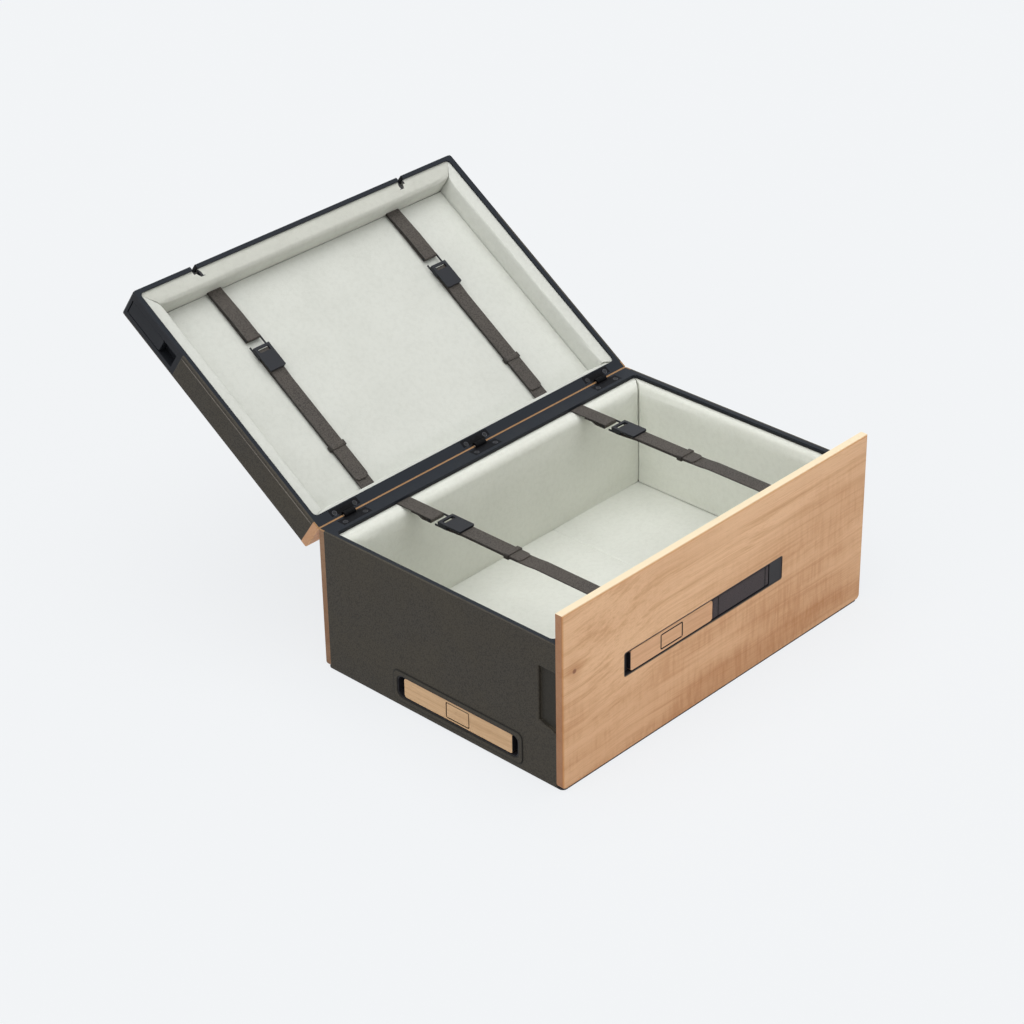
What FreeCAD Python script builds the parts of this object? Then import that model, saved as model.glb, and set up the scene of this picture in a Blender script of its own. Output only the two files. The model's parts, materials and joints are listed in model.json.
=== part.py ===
import FreeCAD, Part
import os
import Sketcher

# A lidded keepsake and watch trunk: wooden front and back, leather sides, lined and strapped inside.
# Millimetres, +Z up, +X to the right of a person facing the front, +Y to the back.
# The origin lies on the ground under the middle of the box.
# Lid pieces are drawn with the lid shut and then turned about the hinge axis to the open angle.

SIZES = {
    # Overall box
    "width": 450.0,
    "depth": 318.0,
    "rim_height": 158.5,
    "lid_tall": 34.5,
    "rim_gap": 0.5,
    "open_angle": 146.0,
    # Carcass boards and skins
    "foot_thick": 2.0,
    "foot_inset": 1.5,
    "front_wood": 8.5,
    "back_wood": 7.5,
    "lid_back_wood": 8.0,
    "wood_round": 1.6,
    "wood_corner": 5.0,
    "edge_round": 0.6,
    "leather": 1.8,
    "side_core": 3.4,
    "bottom_core": 6.0,
    "front_core": 4.0,
    "rear_core": 9.4,
    "lid_core": 3.6,
    "lid_board": 4.2,
    # Black metal rims
    "rim_plate": 2.0,
    "rim_lip": 1.0,
    "rim_drop": 3.0,
    "rim_corner": 5.0,
    "wood_lip": 0.9,
    # Lining pads
    "floor_level": 37.0,
    "floor_pad": 5.0,
    "floor_board": 4.0,
    "floor_tuck": 2.5,
    "batten": 10.0,
    "side_pad": 10.3,
    "front_pad": 10.0,
    "rear_pad": 15.5,
    "pad_roll": 9.0,
    "strap_slot": 1.9,
    "seam_gap": 0.3,
    "lid_floor_pad": 2.5,
    "lid_side_pad": 15.6,
    "lid_front_pad": 20.2,
    "lid_rear_pad": 17.1,
    "lid_roll": 7.0,
    "lid_edge_roll": 3.0,
    "lid_pad_drop": 0.2,
    # Finger dishes beside the front panel
    "dish_low": 61.0,
    "dish_rise": 7.0,
    "dish_high": 128.0,
    "dish_long": 21.5,
    "dish_round": 1.5,
    # Side grips
    "grip_y": -22.8,
    "grip_z": 24.0,
    "grip_end_gap": 8.5,
    "grip_tall": 22.0,
    "grip_thick": 7.0,
    "grip_inset": 0.4,
    "recess_long": 160.0,
    "recess_tall": 25.0,
    "recess_corner": 7.0,
    "welt_wide": 5.0,
    "welt_rise": 0.8,
    "welt_round": 0.6,
    "tray_wall": 1.0,
    "tray_floor": 1.6,
    "rod_half_span": 50.0,
    "rod_z": 20.0,
    "rod_radius": 3.2,
    "bush_radius": 5.2,
    "bush_long": 14.0,
    "collar_radius": 4.6,
    "collar_long": 3.0,
    "grip_travel": 25.0,
    "rod_seat": 2.5,
    "side_button_long": 29.0,
    "side_button_tall": 16.0,
    "side_button_thick": 2.6,
    "side_pocket": 4.0,
    "spring_thick": 0.25,
    "spring_end": 2.0,
    "spring_foot": 5.0,
    "spring_rise": 4.0,
    "spring_side": 4.0,
    "button_gap": 0.8,
    # Front latch
    "latch_gap": 3.1,
    "channel_left": -139.0,
    "channel_right": 92.5,
    "channel_z": 99.3,
    "channel_tall": 24.0,
    "latch_grip_left": -131.0,
    "latch_grip_right": -12.0,
    "latch_pad_right": 74.0,
    "latch_tall": 22.6,
    "latch_thick": 4.4,
    "latch_inset": 0.4,
    "latch_button_x": -72.0,
    "latch_button_long": 30.0,
    "latch_button_tall": 15.0,
    "latch_button_thick": 2.0,
    "latch_pocket": 3.3,
    "latch_travel": 7.0,
    "latch_floor": 1.6,
    "hook_x": 146.0,
    "draw_bar_thick": 1.5,
    "draw_bar_tall": 14.0,
    "arm_wide": 10.0,
    "tongue_wide": 5.0,
    "tongue_long": 9.0,
    "tongue_tall": 3.0,
    "tongue_lift": 4.4,
    "notch_wide": 6.0,
    "notch_deep": 12.9,
    "stud_radius": 2.5,
    "stud_seat": 0.9,
    "stud_grip_end": 12.0,
    "stud_pad_end": 20.0,
    # Lid corner blocks and levers
    "corner_long": 84.6,
    "lid_corner": 3.0,
    "lid_rim_corner": 2.0,
    "lever_slot_long": 73.3,
    "lever_slot_end": 5.4,
    "lever_slot_low": 7.8,
    "lever_slot_tall": 18.8,
    "lever_slot_deep": 3.6,
    "lever_long": 51.0,
    "lever_thick": 3.0,
    "lever_inset": 0.3,
    "lever_round": 3.0,
    "lever_side_gap": 0.4,
    "lever_pin_radius": 0.9,
    "lever_pin_seat": 2.4,
    "finger_deep": 9.6,
    "finger_wall": 1.2,
    # Hinges
    "hinge_inset": 41.0,
    "knuckle_radius": 3.4,
    "knuckle_end": 4.0,
    "knuckle_middle": 5.6,
    "knuckle_gap": 0.2,
    "knuckle_room": 0.5,
    "pin_radius": 1.3,
    "leaf_wide": 38.0,
    "leaf_base_long": 10.5,
    "leaf_lid_long": 8.0,
    "leaf_start": 3.5,
    "leaf_round": 1.5,
    "screw_span": 13.5,
    "screw_base": 9.5,
    "screw_lid": 6.4,
    "screw_head": 2.6,
    "screw_shank": 1.4,
    "screw_long": 12.0,
    # Straps and their hooks
    "strap_x": 127.0,
    "strap_wide": 18.0,
    "strap_thick": 1.3,
    "tip_round": 7.0,
    "turn_outer": 2.2,
    "turn_inner": 1.0,
    "bar_gap": 2.2,
    "bar_thick": 1.8,
    "bar_wide": 2.2,
    "strap_rest": 0.3,
    "lid_strap_rest": 1.7,
    "base_loop_long": 48.3,
    "base_loop_lap": 28.2,
    "base_tail_long": 117.0,
    "base_keeper_back": 17.0,
    "base_tail_step": 2.0,
    "base_tail_rise": 20.0,
    "lid_loop_long": 67.8,
    "lid_loop_lap": 30.0,
    "lid_tip_gap": 5.8,
    "lid_keeper_back": 40.0,
    "lid_tail_flat": 14.0,
    "lid_tail_fall": 12.0,
    "hook_gap": 10.0,
    "hook_long": 30.0,
    "hook_wide": 20.6,
    "hook_plate": 2.0,
    "hook_slot_start": 3.0,
    "hook_slot_long": 5.0,
    "hook_slot_wide": 14.0,
    "keeper_long": 6.0,
    "keeper_thick": 1.1,
    # Clearances
    "play": 0.3,
    "snug": 0.1,
    "running": 0.06,
}

doc = FreeCAD.newDocument("watch_box")
sheet = doc.addObject("Spreadsheet::Sheet", "Sizes")
AXES = {"x": FreeCAD.Vector(1, 0, 0), "y": FreeCAD.Vector(0, 1, 0), "z": FreeCAD.Vector(0, 0, 1)}
PLANES = {"x": "YZ_Plane", "y": "XZ_Plane", "z": "XY_Plane"}
parts = []


class Size:
    """A length that knows both its number and the sheet formula that gives it."""

    def __init__(self, value, formula):
        self.value = value
        self.formula = formula

    def __add__(self, other):
        other = as_size(other)
        return Size(self.value + other.value, f"({self.formula} + {other.formula})")

    def __sub__(self, other):
        other = as_size(other)
        return Size(self.value - other.value, f"({self.formula} - {other.formula})")

    def __mul__(self, number):
        return Size(self.value * number, f"({self.formula} * {number})")

    def __truediv__(self, number):
        return Size(self.value / number, f"({self.formula} / {number})")

    def __neg__(self):
        return Size(-self.value, f"(-1 * {self.formula})")


def as_size(amount):
    if isinstance(amount, Size):
        return amount
    return Size(float(amount), f"({amount})")


class Dimensions:
    """The driving sizes, each one a cell of the sheet."""


dim = Dimensions()
for row, (name, number) in enumerate(SIZES.items(), start=1):
    sheet.set(f"A{row}", str(number))
    sheet.setAlias(f"A{row}", name)
    setattr(dim, name, Size(number, f"Sizes.{name}"))
doc.recompute()


def bind(thing, prop, amount):
    thing.setExpression(prop, as_size(amount).formula)


def rect(across_range, up_range):
    """Corners of a rectangle from its two ranges."""
    low, high = across_range
    bottom, top = up_range
    return [(low, bottom), (high, bottom), (high, top), (low, top)]


def middle(centre, full):
    """The range of a length about its centre."""
    return (centre - full / 2, centre + full / 2)


def new_body(label):
    body = doc.addObject("PartDesign::Body", label)
    body.Label = label
    return body


def outline(body, across, at, loops, shift=None):
    """A sketch square to one axis, every corner or centre held by a formula."""
    sketch = body.newObject("Sketcher::SketchObject", f"{body.Label}_outline")
    plane = [face for face in body.Origin.OriginFeatures if face.Role == PLANES[across]][0]
    sketch.AttachmentSupport = [(plane, "")]
    sketch.MapMode = "FlatFace"
    bind(sketch, "AttachmentOffset.Base.z", -at if across == "y" else at)
    if shift:
        bind(sketch, "AttachmentOffset.Base.x", shift[0])
        bind(sketch, "AttachmentOffset.Base.y", shift[1])
    for loop in loops:
        first = sketch.GeometryCount
        if isinstance(loop, tuple):
            across_c, up_c, radius = [as_size(amount) for amount in loop]
            centre = FreeCAD.Vector(across_c.value, up_c.value, 0)
            sketch.addGeometry(Part.Circle(centre, AXES["z"], radius.value), False)
            held = [("DistanceX", first, 3, across_c), ("DistanceY", first, 3, up_c)]
            ring = sketch.addConstraint(Sketcher.Constraint("Radius", first, radius.value))
            sketch.setExpression(f"Constraints[{ring}]", radius.formula)
        else:
            corners = [(as_size(u), as_size(v)) for u, v in loop]
            points = [FreeCAD.Vector(u.value, v.value, 0) for u, v in corners]
            count = len(points)
            for index in range(count):
                line = Part.LineSegment(points[index], points[(index + 1) % count])
                sketch.addGeometry(line, False)
            for index in range(count):
                following = first + (index + 1) % count
                sketch.addConstraint(Sketcher.Constraint("Coincident", first + index, 2, following, 1))
            held = []
            for index, (u, v) in enumerate(corners):
                held.append(("DistanceX", first + index, 1, u))
                held.append(("DistanceY", first + index, 1, v))
        for kind, shape, point, amount in held:
            rule = Sketcher.Constraint(kind, -1, 1, shape, point, amount.value)
            number = sketch.addConstraint(rule)
            sketch.setExpression(f"Constraints[{number}]", amount.formula)
    return sketch


def pad(body, across, low, high, *loops):
    """Material between two heights along one axis."""
    low, high = as_size(low), as_size(high)
    feature = body.newObject("PartDesign::Pad", f"{body.Label}_pad")
    feature.Profile = outline(body, across, high if across == "y" else low, loops)
    bind(feature, "Length", high - low)
    body.Tip = feature
    return body


def pocket(body, across, low, high, *loops):
    """A cut between two heights along one axis."""
    low, high = as_size(low), as_size(high)
    feature = body.newObject("PartDesign::Pocket", f"{body.Label}_pocket")
    feature.Profile = outline(body, across, low if across == "y" else high, loops)
    bind(feature, "Length", high - low)
    body.Tip = feature
    return body


def turned(body, across, at, shift, about, loop):
    """A piece turned from its half outline about one axis of the sketch."""
    sketch = outline(body, across, at, [loop], shift)
    feature = body.newObject("PartDesign::Revolution", f"{body.Label}_turned")
    feature.Profile = sketch
    feature.ReferenceAxis = (sketch, [about])
    feature.Angle = 360.0
    body.Tip = feature
    return body


def on_plane(axis, place, *tests):
    """Picks edges that lie wholly at one place along an axis."""
    number = as_size(place).value

    def chosen(edge):
        ends = [getattr(vertex.Point, axis) for vertex in edge.Vertexes] + [getattr(edge.CenterOfMass, axis)]
        if any(abs(end - number) > 0.02 for end in ends):
            return False
        return all(test(edge.CenterOfMass) for test in tests)
    return chosen


def straight(axis, *tests):
    """Picks straight edges along one axis whose middle passes every test."""
    def chosen(edge):
        if edge.Curve.TypeId != "Part::GeomLine":
            return False
        if abs(abs(edge.Curve.Direction.dot(AXES[axis])) - 1) > 1e-6:
            return False
        centre = edge.CenterOfMass
        return all(test(centre) for test in tests)
    return chosen


def near(axis, *places):
    """A test that a point lies at one of these places along an axis."""
    numbers = [as_size(place).value for place in places]
    return lambda point: any(abs(getattr(point, axis) - number) < 0.02 for number in numbers)


def soften(body, radius, *choices):
    """Rounds the edges that any of the choices picks."""
    doc.recompute()
    tip = body.Tip
    edges = enumerate(tip.Shape.Edges, start=1)
    names = [f"Edge{number}" for number, edge in edges if any(choice(edge) for choice in choices)]
    feature = body.newObject("PartDesign::Fillet", f"{body.Label}_round")
    feature.Base = (tip, names)
    bind(feature, "Radius", radius)
    body.Tip = feature
    return body


def keep(thing, label=None):
    """Marks a finished piece for the parts folder."""
    if label:
        thing.Label = label
    parts.append(thing)
    return thing


def group(label, *things):
    """Like pieces that share one name."""
    compound = doc.addObject("Part::Compound", label)
    compound.Links = list(things)
    compound.Label = label
    return compound


def mirror(label, source):
    """The same piece on the other side of the box."""
    twin = doc.addObject("Part::Mirroring", label)
    twin.Source = source
    twin.Normal = (1, 0, 0)
    twin.Base = (0, 0, 0)
    twin.Label = label
    return twin


# Planes that several pieces share, from the outside in
side = dim.width / 2
front = -dim.depth / 2
front_in = front + dim.front_wood
wall_out = front_in + dim.latch_gap
wall_in = wall_out + dim.front_core
back = dim.depth / 2
back_in = back - dim.back_wood
rear_in = back_in - dim.rear_core
core_out = side - dim.leather
core_in = core_out - dim.side_core
lip_in = core_in - dim.rim_lip
bottom_top = dim.foot_thick + dim.bottom_core
rim_top = dim.rim_height
rim_under = rim_top - dim.rim_plate
hinge_y = back
hinge_z = rim_top + dim.rim_gap / 2
lid_under = rim_top + dim.rim_gap
lid_plate = lid_under + dim.rim_plate
lid_top = rim_top + dim.lid_tall
lid_skin = lid_top - dim.leather
lid_board_in = lid_skin - dim.lid_board
lid_front = wall_out
lid_wall_in = lid_front + dim.lid_core
lid_strip_in = back - dim.lid_back_wood
lid_rear_in = lid_strip_in - dim.lid_core
lid_core_in = core_out - dim.lid_core
corner_y = lid_front + dim.corner_long
knuckle_half = dim.knuckle_middle / 2 + dim.knuckle_gap + dim.knuckle_end
hinge_span = side - dim.hinge_inset
hinge_places = [-hinge_span, as_size(0), hinge_span]
hook_places = [-dim.hook_x, dim.hook_x]


def on_lid(thing):
    """Turns a piece drawn on the shut lid to the open angle about the hinge axis."""
    axis = f"vector(0; {hinge_y.formula}; {hinge_z.formula})"
    turn = "rotation(vector(1; 0; 0); -Sizes.open_angle)"
    thing.setExpression("Placement", f"placement(vector(0; 0; 0); {turn}; {axis})")
    return thing


def hinge_cuts(body, leaf_low, leaf_high, bottom, top):
    """Room for the three hinges: a window for each leaf and a round notch for each knuckle."""
    for place in hinge_places:
        window = middle(place, dim.leaf_wide + dim.snug * 2)
        pocket(body, "z", bottom, top, rect(window, (leaf_low, leaf_high)))
        neck = middle(place, (knuckle_half + dim.play) * 2)
        pocket(body, "z", bottom, top, rect(neck, (leaf_high - dim.play, hinge_y)))
    knuckle_cuts(body)


def knuckle_cuts(body):
    room = dim.knuckle_radius + dim.knuckle_room
    for place in hinge_places:
        low = place - knuckle_half - dim.play
        high = place + knuckle_half + dim.play
        pocket(body, "x", low, high, (hinge_y, hinge_z, room))


def screw_holes(body, y_place, low, high):
    hole = dim.screw_shank + dim.snug
    rounds = []
    for place in hinge_places:
        rounds.append((place - dim.screw_span, y_place, hole))
        rounds.append((place + dim.screw_span, y_place, hole))
    pocket(body, "z", low, high, *rounds)


# Foot plate: the dark sheet the box stands on
foot_x = side - dim.foot_inset
foot = new_body("foot_plate")
pad(foot, "z", 0, dim.foot_thick, rect((-foot_x, foot_x), (front + dim.foot_inset, back - dim.foot_inset)))
soften(foot, dim.wood_corner, straight("z"))
keep(foot)

# Bottom board
bottom = new_body("bottom_board")
pad(bottom, "z", dim.foot_thick, bottom_top, rect((-core_out, core_out), (front_in, back_in)))
keep(bottom)

# Front panel: solid wood with a window for the latch tray
window_x = (dim.channel_left - dim.tray_wall, dim.channel_right + dim.tray_wall)
window_z = middle(dim.channel_z, dim.channel_tall + dim.tray_wall * 2)
panel = new_body("front_panel")
pad(panel, "y", front, front_in, rect((-side, side), (dim.foot_thick, lid_top)))
pocket(panel, "y", front, front_in, rect(window_x, window_z))
soften(panel, dim.wood_corner, straight("y", near("z", dim.foot_thick)))
soften(panel, dim.rim_corner / 2, straight("y", near("x", *window_x), near("z", *window_z)))
outside = lambda point: abs(point.z - dim.channel_z.value) > 40 or abs(point.x) > 150
soften(panel, dim.wood_round, on_plane("y", front, outside))
keep(panel)

# Front inner wall: behind the latch bar
front_wall = new_body("front_inner_wall")
pad(front_wall, "y", wall_out, wall_in, rect((-core_in, core_in), (bottom_top, rim_under)))
keep(front_wall)

# Back panel: solid wood, rebated for the rim and notched for the hinges
back_panel = new_body("back_panel")
pad(back_panel, "y", back_in, back, rect((-side, side), (dim.foot_thick, rim_top)))
pocket(back_panel, "z", rim_under, rim_top, rect((-core_out, core_out), (back_in, back - dim.wood_lip)))
soften(back_panel, dim.wood_corner, straight("y", near("z", dim.foot_thick)))
lower = lambda point: point.z < rim_under.value
soften(back_panel, dim.wood_round, on_plane("y", back, lower))
knuckle_cuts(back_panel)
keep(back_panel)

# Back inner wall: carries the base hinge screws
screw_base_y = back - dim.screw_base
rear_wall = new_body("back_inner_wall")
pad(rear_wall, "y", rear_in, back_in, rect((-core_in, core_in), (bottom_top, rim_under)))
screw_holes(rear_wall, screw_base_y, rim_under - dim.screw_long, rim_under)
keep(rear_wall)

# Side walls: boards with a hole for the grip tray and one for the finger dish
recess_y = middle(dim.grip_y, dim.recess_long)
recess_z = middle(dim.grip_z, dim.recess_tall)
dish_back = front_in + dim.dish_long


def dish_shape(more):
    return [
        (front_in, dim.dish_low - more),
        (dish_back + more, dim.dish_low + dim.dish_rise - more),
        (dish_back + more, dim.dish_high + more),
        (front_in, dim.dish_high + more),
    ]


left_wall = new_body("left_side_wall")
pad(left_wall, "x", -core_out, -core_in, rect((front_in, back_in), (bottom_top, rim_under)))
pocket(left_wall, "x", -core_out, -core_in, rect(recess_y, recess_z))
pocket(left_wall, "x", -core_out, -core_in, dish_shape(dim.leather + dim.snug))
soften(left_wall, dim.recess_corner, straight("x", near("y", *recess_y), near("z", *recess_z)))
keep(left_wall)
keep(mirror("right_side_wall", left_wall))

# Side leather: skin with a raised welt round the grip and a dish pressed in beside the front panel
welt_y = middle(dim.grip_y, dim.recess_long + dim.welt_wide * 2)
welt_z = middle(dim.grip_z, dim.recess_tall + dim.welt_wide * 2)
skin = new_body("left_side_leather")
pad(skin, "x", -side, -core_out, rect((front_in, back_in), (dim.foot_thick, rim_top)))
pad(skin, "x", -side - dim.welt_rise, -side, rect(welt_y, welt_z))
soften(skin, dim.recess_corner, straight("x", near("y", *welt_y), near("z", *welt_z)))
pad(skin, "x", -core_out, -core_in, dish_shape(dim.leather))
pocket(skin, "x", -side, -side + dim.side_core, dish_shape(as_size(0)))
pocket(skin, "x", -side - dim.welt_rise, -core_out, rect(recess_y, recess_z))
soften(skin, dim.recess_corner, straight("x", near("y", *recess_y), near("z", *recess_z)))
soften(skin, dim.welt_round, on_plane("x", -side - dim.welt_rise))


def in_dish(point):
    """Whether an edge's middle lies on the finger dish."""
    along = front_in.value < point.y < dish_back.value + 0.1
    return along and dim.dish_low.value - 1 < point.z < dim.dish_high.value + 1


soften(skin, dim.dish_round, on_plane("x", -side, in_dish))
keep(skin)
keep(mirror("right_side_leather", skin))

# Base rim: black frame with a lip down into the box, slots for the latch arms and hinge windows
rim_front_in = wall_in + dim.rim_lip
rim_rear_in = rear_in - dim.rim_lip
rim_x = (-core_out, core_out)
rim_inner = rect((-lip_in, lip_in), (rim_front_in, rim_rear_in))
leaf_y = (hinge_y - dim.leaf_start - dim.leaf_base_long, hinge_y - dim.leaf_start)
rim = new_body("base_rim")
pad(rim, "z", rim_under, rim_top, rect(rim_x, (front_in, back - dim.wood_lip)), rim_inner)
pad(rim, "z", rim_top - dim.rim_drop, rim_under, rect((-core_in, core_in), (wall_in, rear_in)), rim_inner)
soften(rim, dim.rim_corner, straight("z", near("x", -lip_in, lip_in), near("y", rim_front_in, rim_rear_in)))
for place in hook_places:
    arm_x = (place - dim.arm_wide / 2 - dim.latch_travel - dim.play, place + dim.arm_wide / 2 + dim.play)
    pocket(rim, "z", rim_under, rim_top, rect(arm_x, (front_in, wall_out)))
hinge_cuts(rim, leaf_y[0] - dim.snug, leaf_y[1] + dim.snug, rim_under, rim_top)
keep(rim)

# Floor board on two battens, clear of the grip trays
floor_x = core_in - dim.side_pad + dim.floor_tuck
board_top = dim.floor_level - dim.floor_pad
board_low = board_top - dim.floor_board
batten_x = rect((-floor_x, floor_x), (wall_in, wall_in + dim.batten))
floor_board = new_body("floor_board")
pad(floor_board, "z", board_low, board_top, rect((-floor_x, floor_x), (wall_in, rear_in)))
pad(floor_board, "z", bottom_top, board_low, batten_x)
pad(floor_board, "z", bottom_top, board_low, rect((-floor_x, floor_x), (rear_in - dim.batten, rear_in)))
keep(floor_board)

# Base lining: floor pad and four mitred wall pads with a rolled top edge
pad_top = rim_top - dim.rim_drop - dim.strap_slot
pad_x = core_in - dim.side_pad
pad_front = wall_in + dim.front_pad
pad_rear = rear_in - dim.rear_pad
floor_pad = new_body("base_floor_pad")
pad(floor_pad, "z", board_top, dim.floor_level, rect((-floor_x, floor_x), (wall_in, rear_in)))
keep(floor_pad)


def wall_pad(label, corners, low, high, roll, edge):
    """A pad standing between two heights, its inner upper edge rolled over."""
    body = new_body(label)
    pad(body, "z", low, high, corners)
    soften(body, roll, edge)
    return body


gap = dim.seam_gap
back_pad_shape = [
    (-core_in + gap, rear_in), (-pad_x + gap, pad_rear), (pad_x - gap, pad_rear), (core_in - gap, rear_in)]
back_edge = straight("x", near("y", pad_rear), near("z", pad_top))
keep(wall_pad("base_back_pad", back_pad_shape, dim.floor_level, pad_top, dim.pad_roll, back_edge))
front_pad_shape = [
    (-core_in + gap, wall_in), (core_in - gap, wall_in), (pad_x - gap, pad_front), (-pad_x + gap, pad_front)]
front_edge = straight("x", near("y", pad_front), near("z", pad_top))
keep(wall_pad("base_front_pad", front_pad_shape, dim.floor_level, pad_top, dim.pad_roll, front_edge))
left_pad_shape = [
    (-core_in, wall_in + gap), (-pad_x, pad_front + gap), (-pad_x, pad_rear - gap), (-core_in, rear_in - gap)]
left_edge = straight("y", near("x", -pad_x), near("z", pad_top))
left_pad = wall_pad("base_left_pad", left_pad_shape, dim.floor_level, pad_top, dim.pad_roll, left_edge)
keep(left_pad)
keep(mirror("base_right_pad", left_pad))


def grip_set(prefix, across, face, u_range, v_range, thick, hollow, button_u, button_v, button_thick):
    """A wooden grip with a sprung push button let into it."""
    inner = face + thick
    hollow_floor = face + hollow
    grip = new_body(f"{prefix}_grip")
    pad(grip, across, face, inner, rect(u_range, v_range))
    u_axis = "y" if across == "x" else "x"
    ends = straight(across, near(u_axis, *u_range))
    soften(grip, dim.wood_round * 2, ends)
    soften(grip, dim.edge_round, on_plane(across, face))
    room = dim.button_gap
    opening = rect((button_u[0] - room, button_u[1] + room), (button_v[0] - room, button_v[1] + room))
    pocket(grip, across, face, hollow_floor, opening)
    button = new_body(f"{prefix}_button")
    pad(button, across, face, face + button_thick, rect(button_u, button_v))
    soften(button, dim.wood_round, straight(across))
    soften(button, dim.edge_round, on_plane(across, face))
    # The leaf spring: two feet on the pocket floor and a flat arch under the button
    leaf = dim.spring_thick
    top = face + button_thick + dim.running
    low = hollow_floor - dim.running
    u0 = button_u[0] + dim.spring_end
    u1 = u0 + dim.spring_foot
    u2 = u1 + dim.spring_rise
    u5 = button_u[1] - dim.spring_end
    u4 = u5 - dim.spring_foot
    u3 = u4 - dim.spring_rise
    upper = [(u0, low - leaf), (u1, low - leaf), (u2, top), (u3, top), (u4, low - leaf), (u5, low - leaf)]
    lower = [(u5, low), (u4, low), (u3, top + leaf), (u2, top + leaf), (u1, low), (u0, low)]
    shape = upper + lower
    if across == "x":
        shape = [(v, u) for u, v in shape]
    spring = new_body(f"{prefix}_spring")
    pad(spring, "z", button_v[0] + dim.spring_side, button_v[1] - dim.spring_side, shape)
    return grip, button, spring


# Left side grip in its tray: pulls straight out on two guide rods
grip_face = -side + dim.grip_inset
grip_u = middle(dim.grip_y, dim.recess_long - dim.grip_end_gap * 2)
grip_v = middle(dim.grip_z, dim.grip_tall)
side_button_u = middle(dim.grip_y, dim.side_button_long)
side_button_v = middle(dim.grip_z, dim.side_button_tall)
grip, grip_button, grip_spring = grip_set(
    "left_side", "x", grip_face, grip_u, grip_v, dim.grip_thick, dim.side_pocket,
    side_button_u, side_button_v, dim.side_button_thick)
grip_back = grip_face + dim.grip_thick
rod_places = [dim.grip_y - dim.rod_half_span, dim.grip_y + dim.rod_half_span]
rod_start = grip_back - dim.rod_seat
rod_holes = [(place, dim.rod_z, dim.rod_radius + dim.running) for place in rod_places]
pocket(grip, "x", rod_start, grip_back, *rod_holes)
tray_in = grip_back + dim.play
tray_out = tray_in + dim.tray_floor
bush_end = tray_out + dim.bush_long
tray_y = (recess_y[0] + dim.snug, recess_y[1] - dim.snug)
tray_z = (recess_z[0] + dim.snug, recess_z[1] - dim.snug)
cup_y = (tray_y[0] + dim.tray_wall, tray_y[1] - dim.tray_wall)
cup_z = (tray_z[0] + dim.tray_wall, tray_z[1] - dim.tray_wall)
tray = new_body("left_side_tray")
pad(tray, "x", -side, tray_out, rect(tray_y, tray_z))
pocket(tray, "x", -side, tray_in, rect(cup_y, cup_z))
soften(tray, dim.recess_corner - dim.tray_wall, straight("x", near("y", *cup_y), near("z", *cup_z)))
soften(tray, dim.recess_corner, straight("x", near("y", *tray_y), near("z", *tray_z)))
pad(tray, "x", tray_out, bush_end, *[(place, dim.rod_z, dim.bush_radius) for place in rod_places])
pocket(tray, "x", tray_in, bush_end, *rod_holes)
rods = []
for number, place in enumerate(rod_places, start=1):
    rod = new_body(f"left_side_rod_{number}")
    collar = bush_end + dim.grip_travel + dim.play
    end = collar + dim.collar_long
    bevel = dim.edge_round
    half_rod = [
        (rod_start, 0), (end, 0), (end, dim.collar_radius - bevel), (end - bevel, dim.collar_radius),
        (collar, dim.collar_radius), (collar, dim.rod_radius), (rod_start + bevel, dim.rod_radius),
        (rod_start, dim.rod_radius - bevel)]
    turned(rod, "z", dim.rod_z, (as_size(0), place), "H_Axis", half_rod)
    rods.append(rod)
left_rods = group("left_side_rods", *rods)
for piece in (tray, grip, left_rods, grip_spring, grip_button):
    keep(piece)
    keep(mirror(piece.Label.replace("left", "right"), piece))

# Front latch: tray, wooden grip, leather pad, draw bar with two hooked arms
latch_face = front + dim.latch_inset
latch_z = middle(dim.channel_z, dim.latch_tall)
latch_u = (dim.latch_grip_left, dim.latch_grip_right)
latch_button_u = middle(dim.latch_button_x, dim.latch_button_long)
latch_button_v = middle(dim.channel_z, dim.latch_button_tall)
latch_grip, latch_button, latch_spring = grip_set(
    "latch", "y", latch_face, latch_u, latch_z, dim.latch_thick, dim.latch_pocket,
    latch_button_u, latch_button_v, dim.latch_button_thick)
latch_back = latch_face + dim.latch_thick
tray_face = latch_back + dim.play
tray_rear = tray_face + dim.latch_floor
bar_front = front_in + dim.play
bar_rear = bar_front + dim.draw_bar_thick
stud_tip = latch_back - dim.stud_seat
stud_places = [
    dim.latch_grip_left + dim.stud_grip_end, dim.latch_grip_right - dim.stud_grip_end,
    dim.latch_grip_right + dim.stud_pad_end, dim.latch_pad_right - dim.stud_pad_end]
stud_holes = [(place, dim.channel_z, dim.stud_radius + dim.running) for place in stud_places]
pocket(latch_grip, "y", stud_tip - dim.snug, latch_back, *stud_holes[:2])
latch_pad = new_body("latch_leather_pad")
pad_u = (dim.latch_grip_right + dim.snug, dim.latch_pad_right)
pad(latch_pad, "y", latch_face, latch_back, rect(pad_u, latch_z))
soften(latch_pad, dim.wood_round, straight("x", near("y", latch_face)), straight("z", near("y", latch_face)))
pocket(latch_pad, "y", stud_tip - dim.snug, latch_back, *stud_holes[2:])
latch_tray = new_body("latch_tray")
tray_x = (window_x[0] + dim.snug, window_x[1] - dim.snug)
tray_v = (window_z[0] + dim.snug, window_z[1] - dim.snug)
pad(latch_tray, "y", front + dim.latch_inset, tray_rear, rect(tray_x, tray_v))
soften(latch_tray, dim.rim_corner / 2, straight("y"))
hollow_x = (dim.channel_left, dim.latch_pad_right + dim.snug * 2)
pocket(latch_tray, "y", front, tray_face, rect(hollow_x, middle(dim.channel_z, dim.channel_tall)))
slot_tall = middle(dim.channel_z, dim.stud_radius * 2 + dim.play * 2)
slots = []
for place in stud_places:
    slot_left = place - dim.latch_travel - dim.stud_radius - dim.play
    slots.append(rect((slot_left, place + dim.stud_radius + dim.play), slot_tall))
pocket(latch_tray, "y", tray_face, tray_rear, *slots)
draw_bar = new_body("latch_draw_bar")
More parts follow.
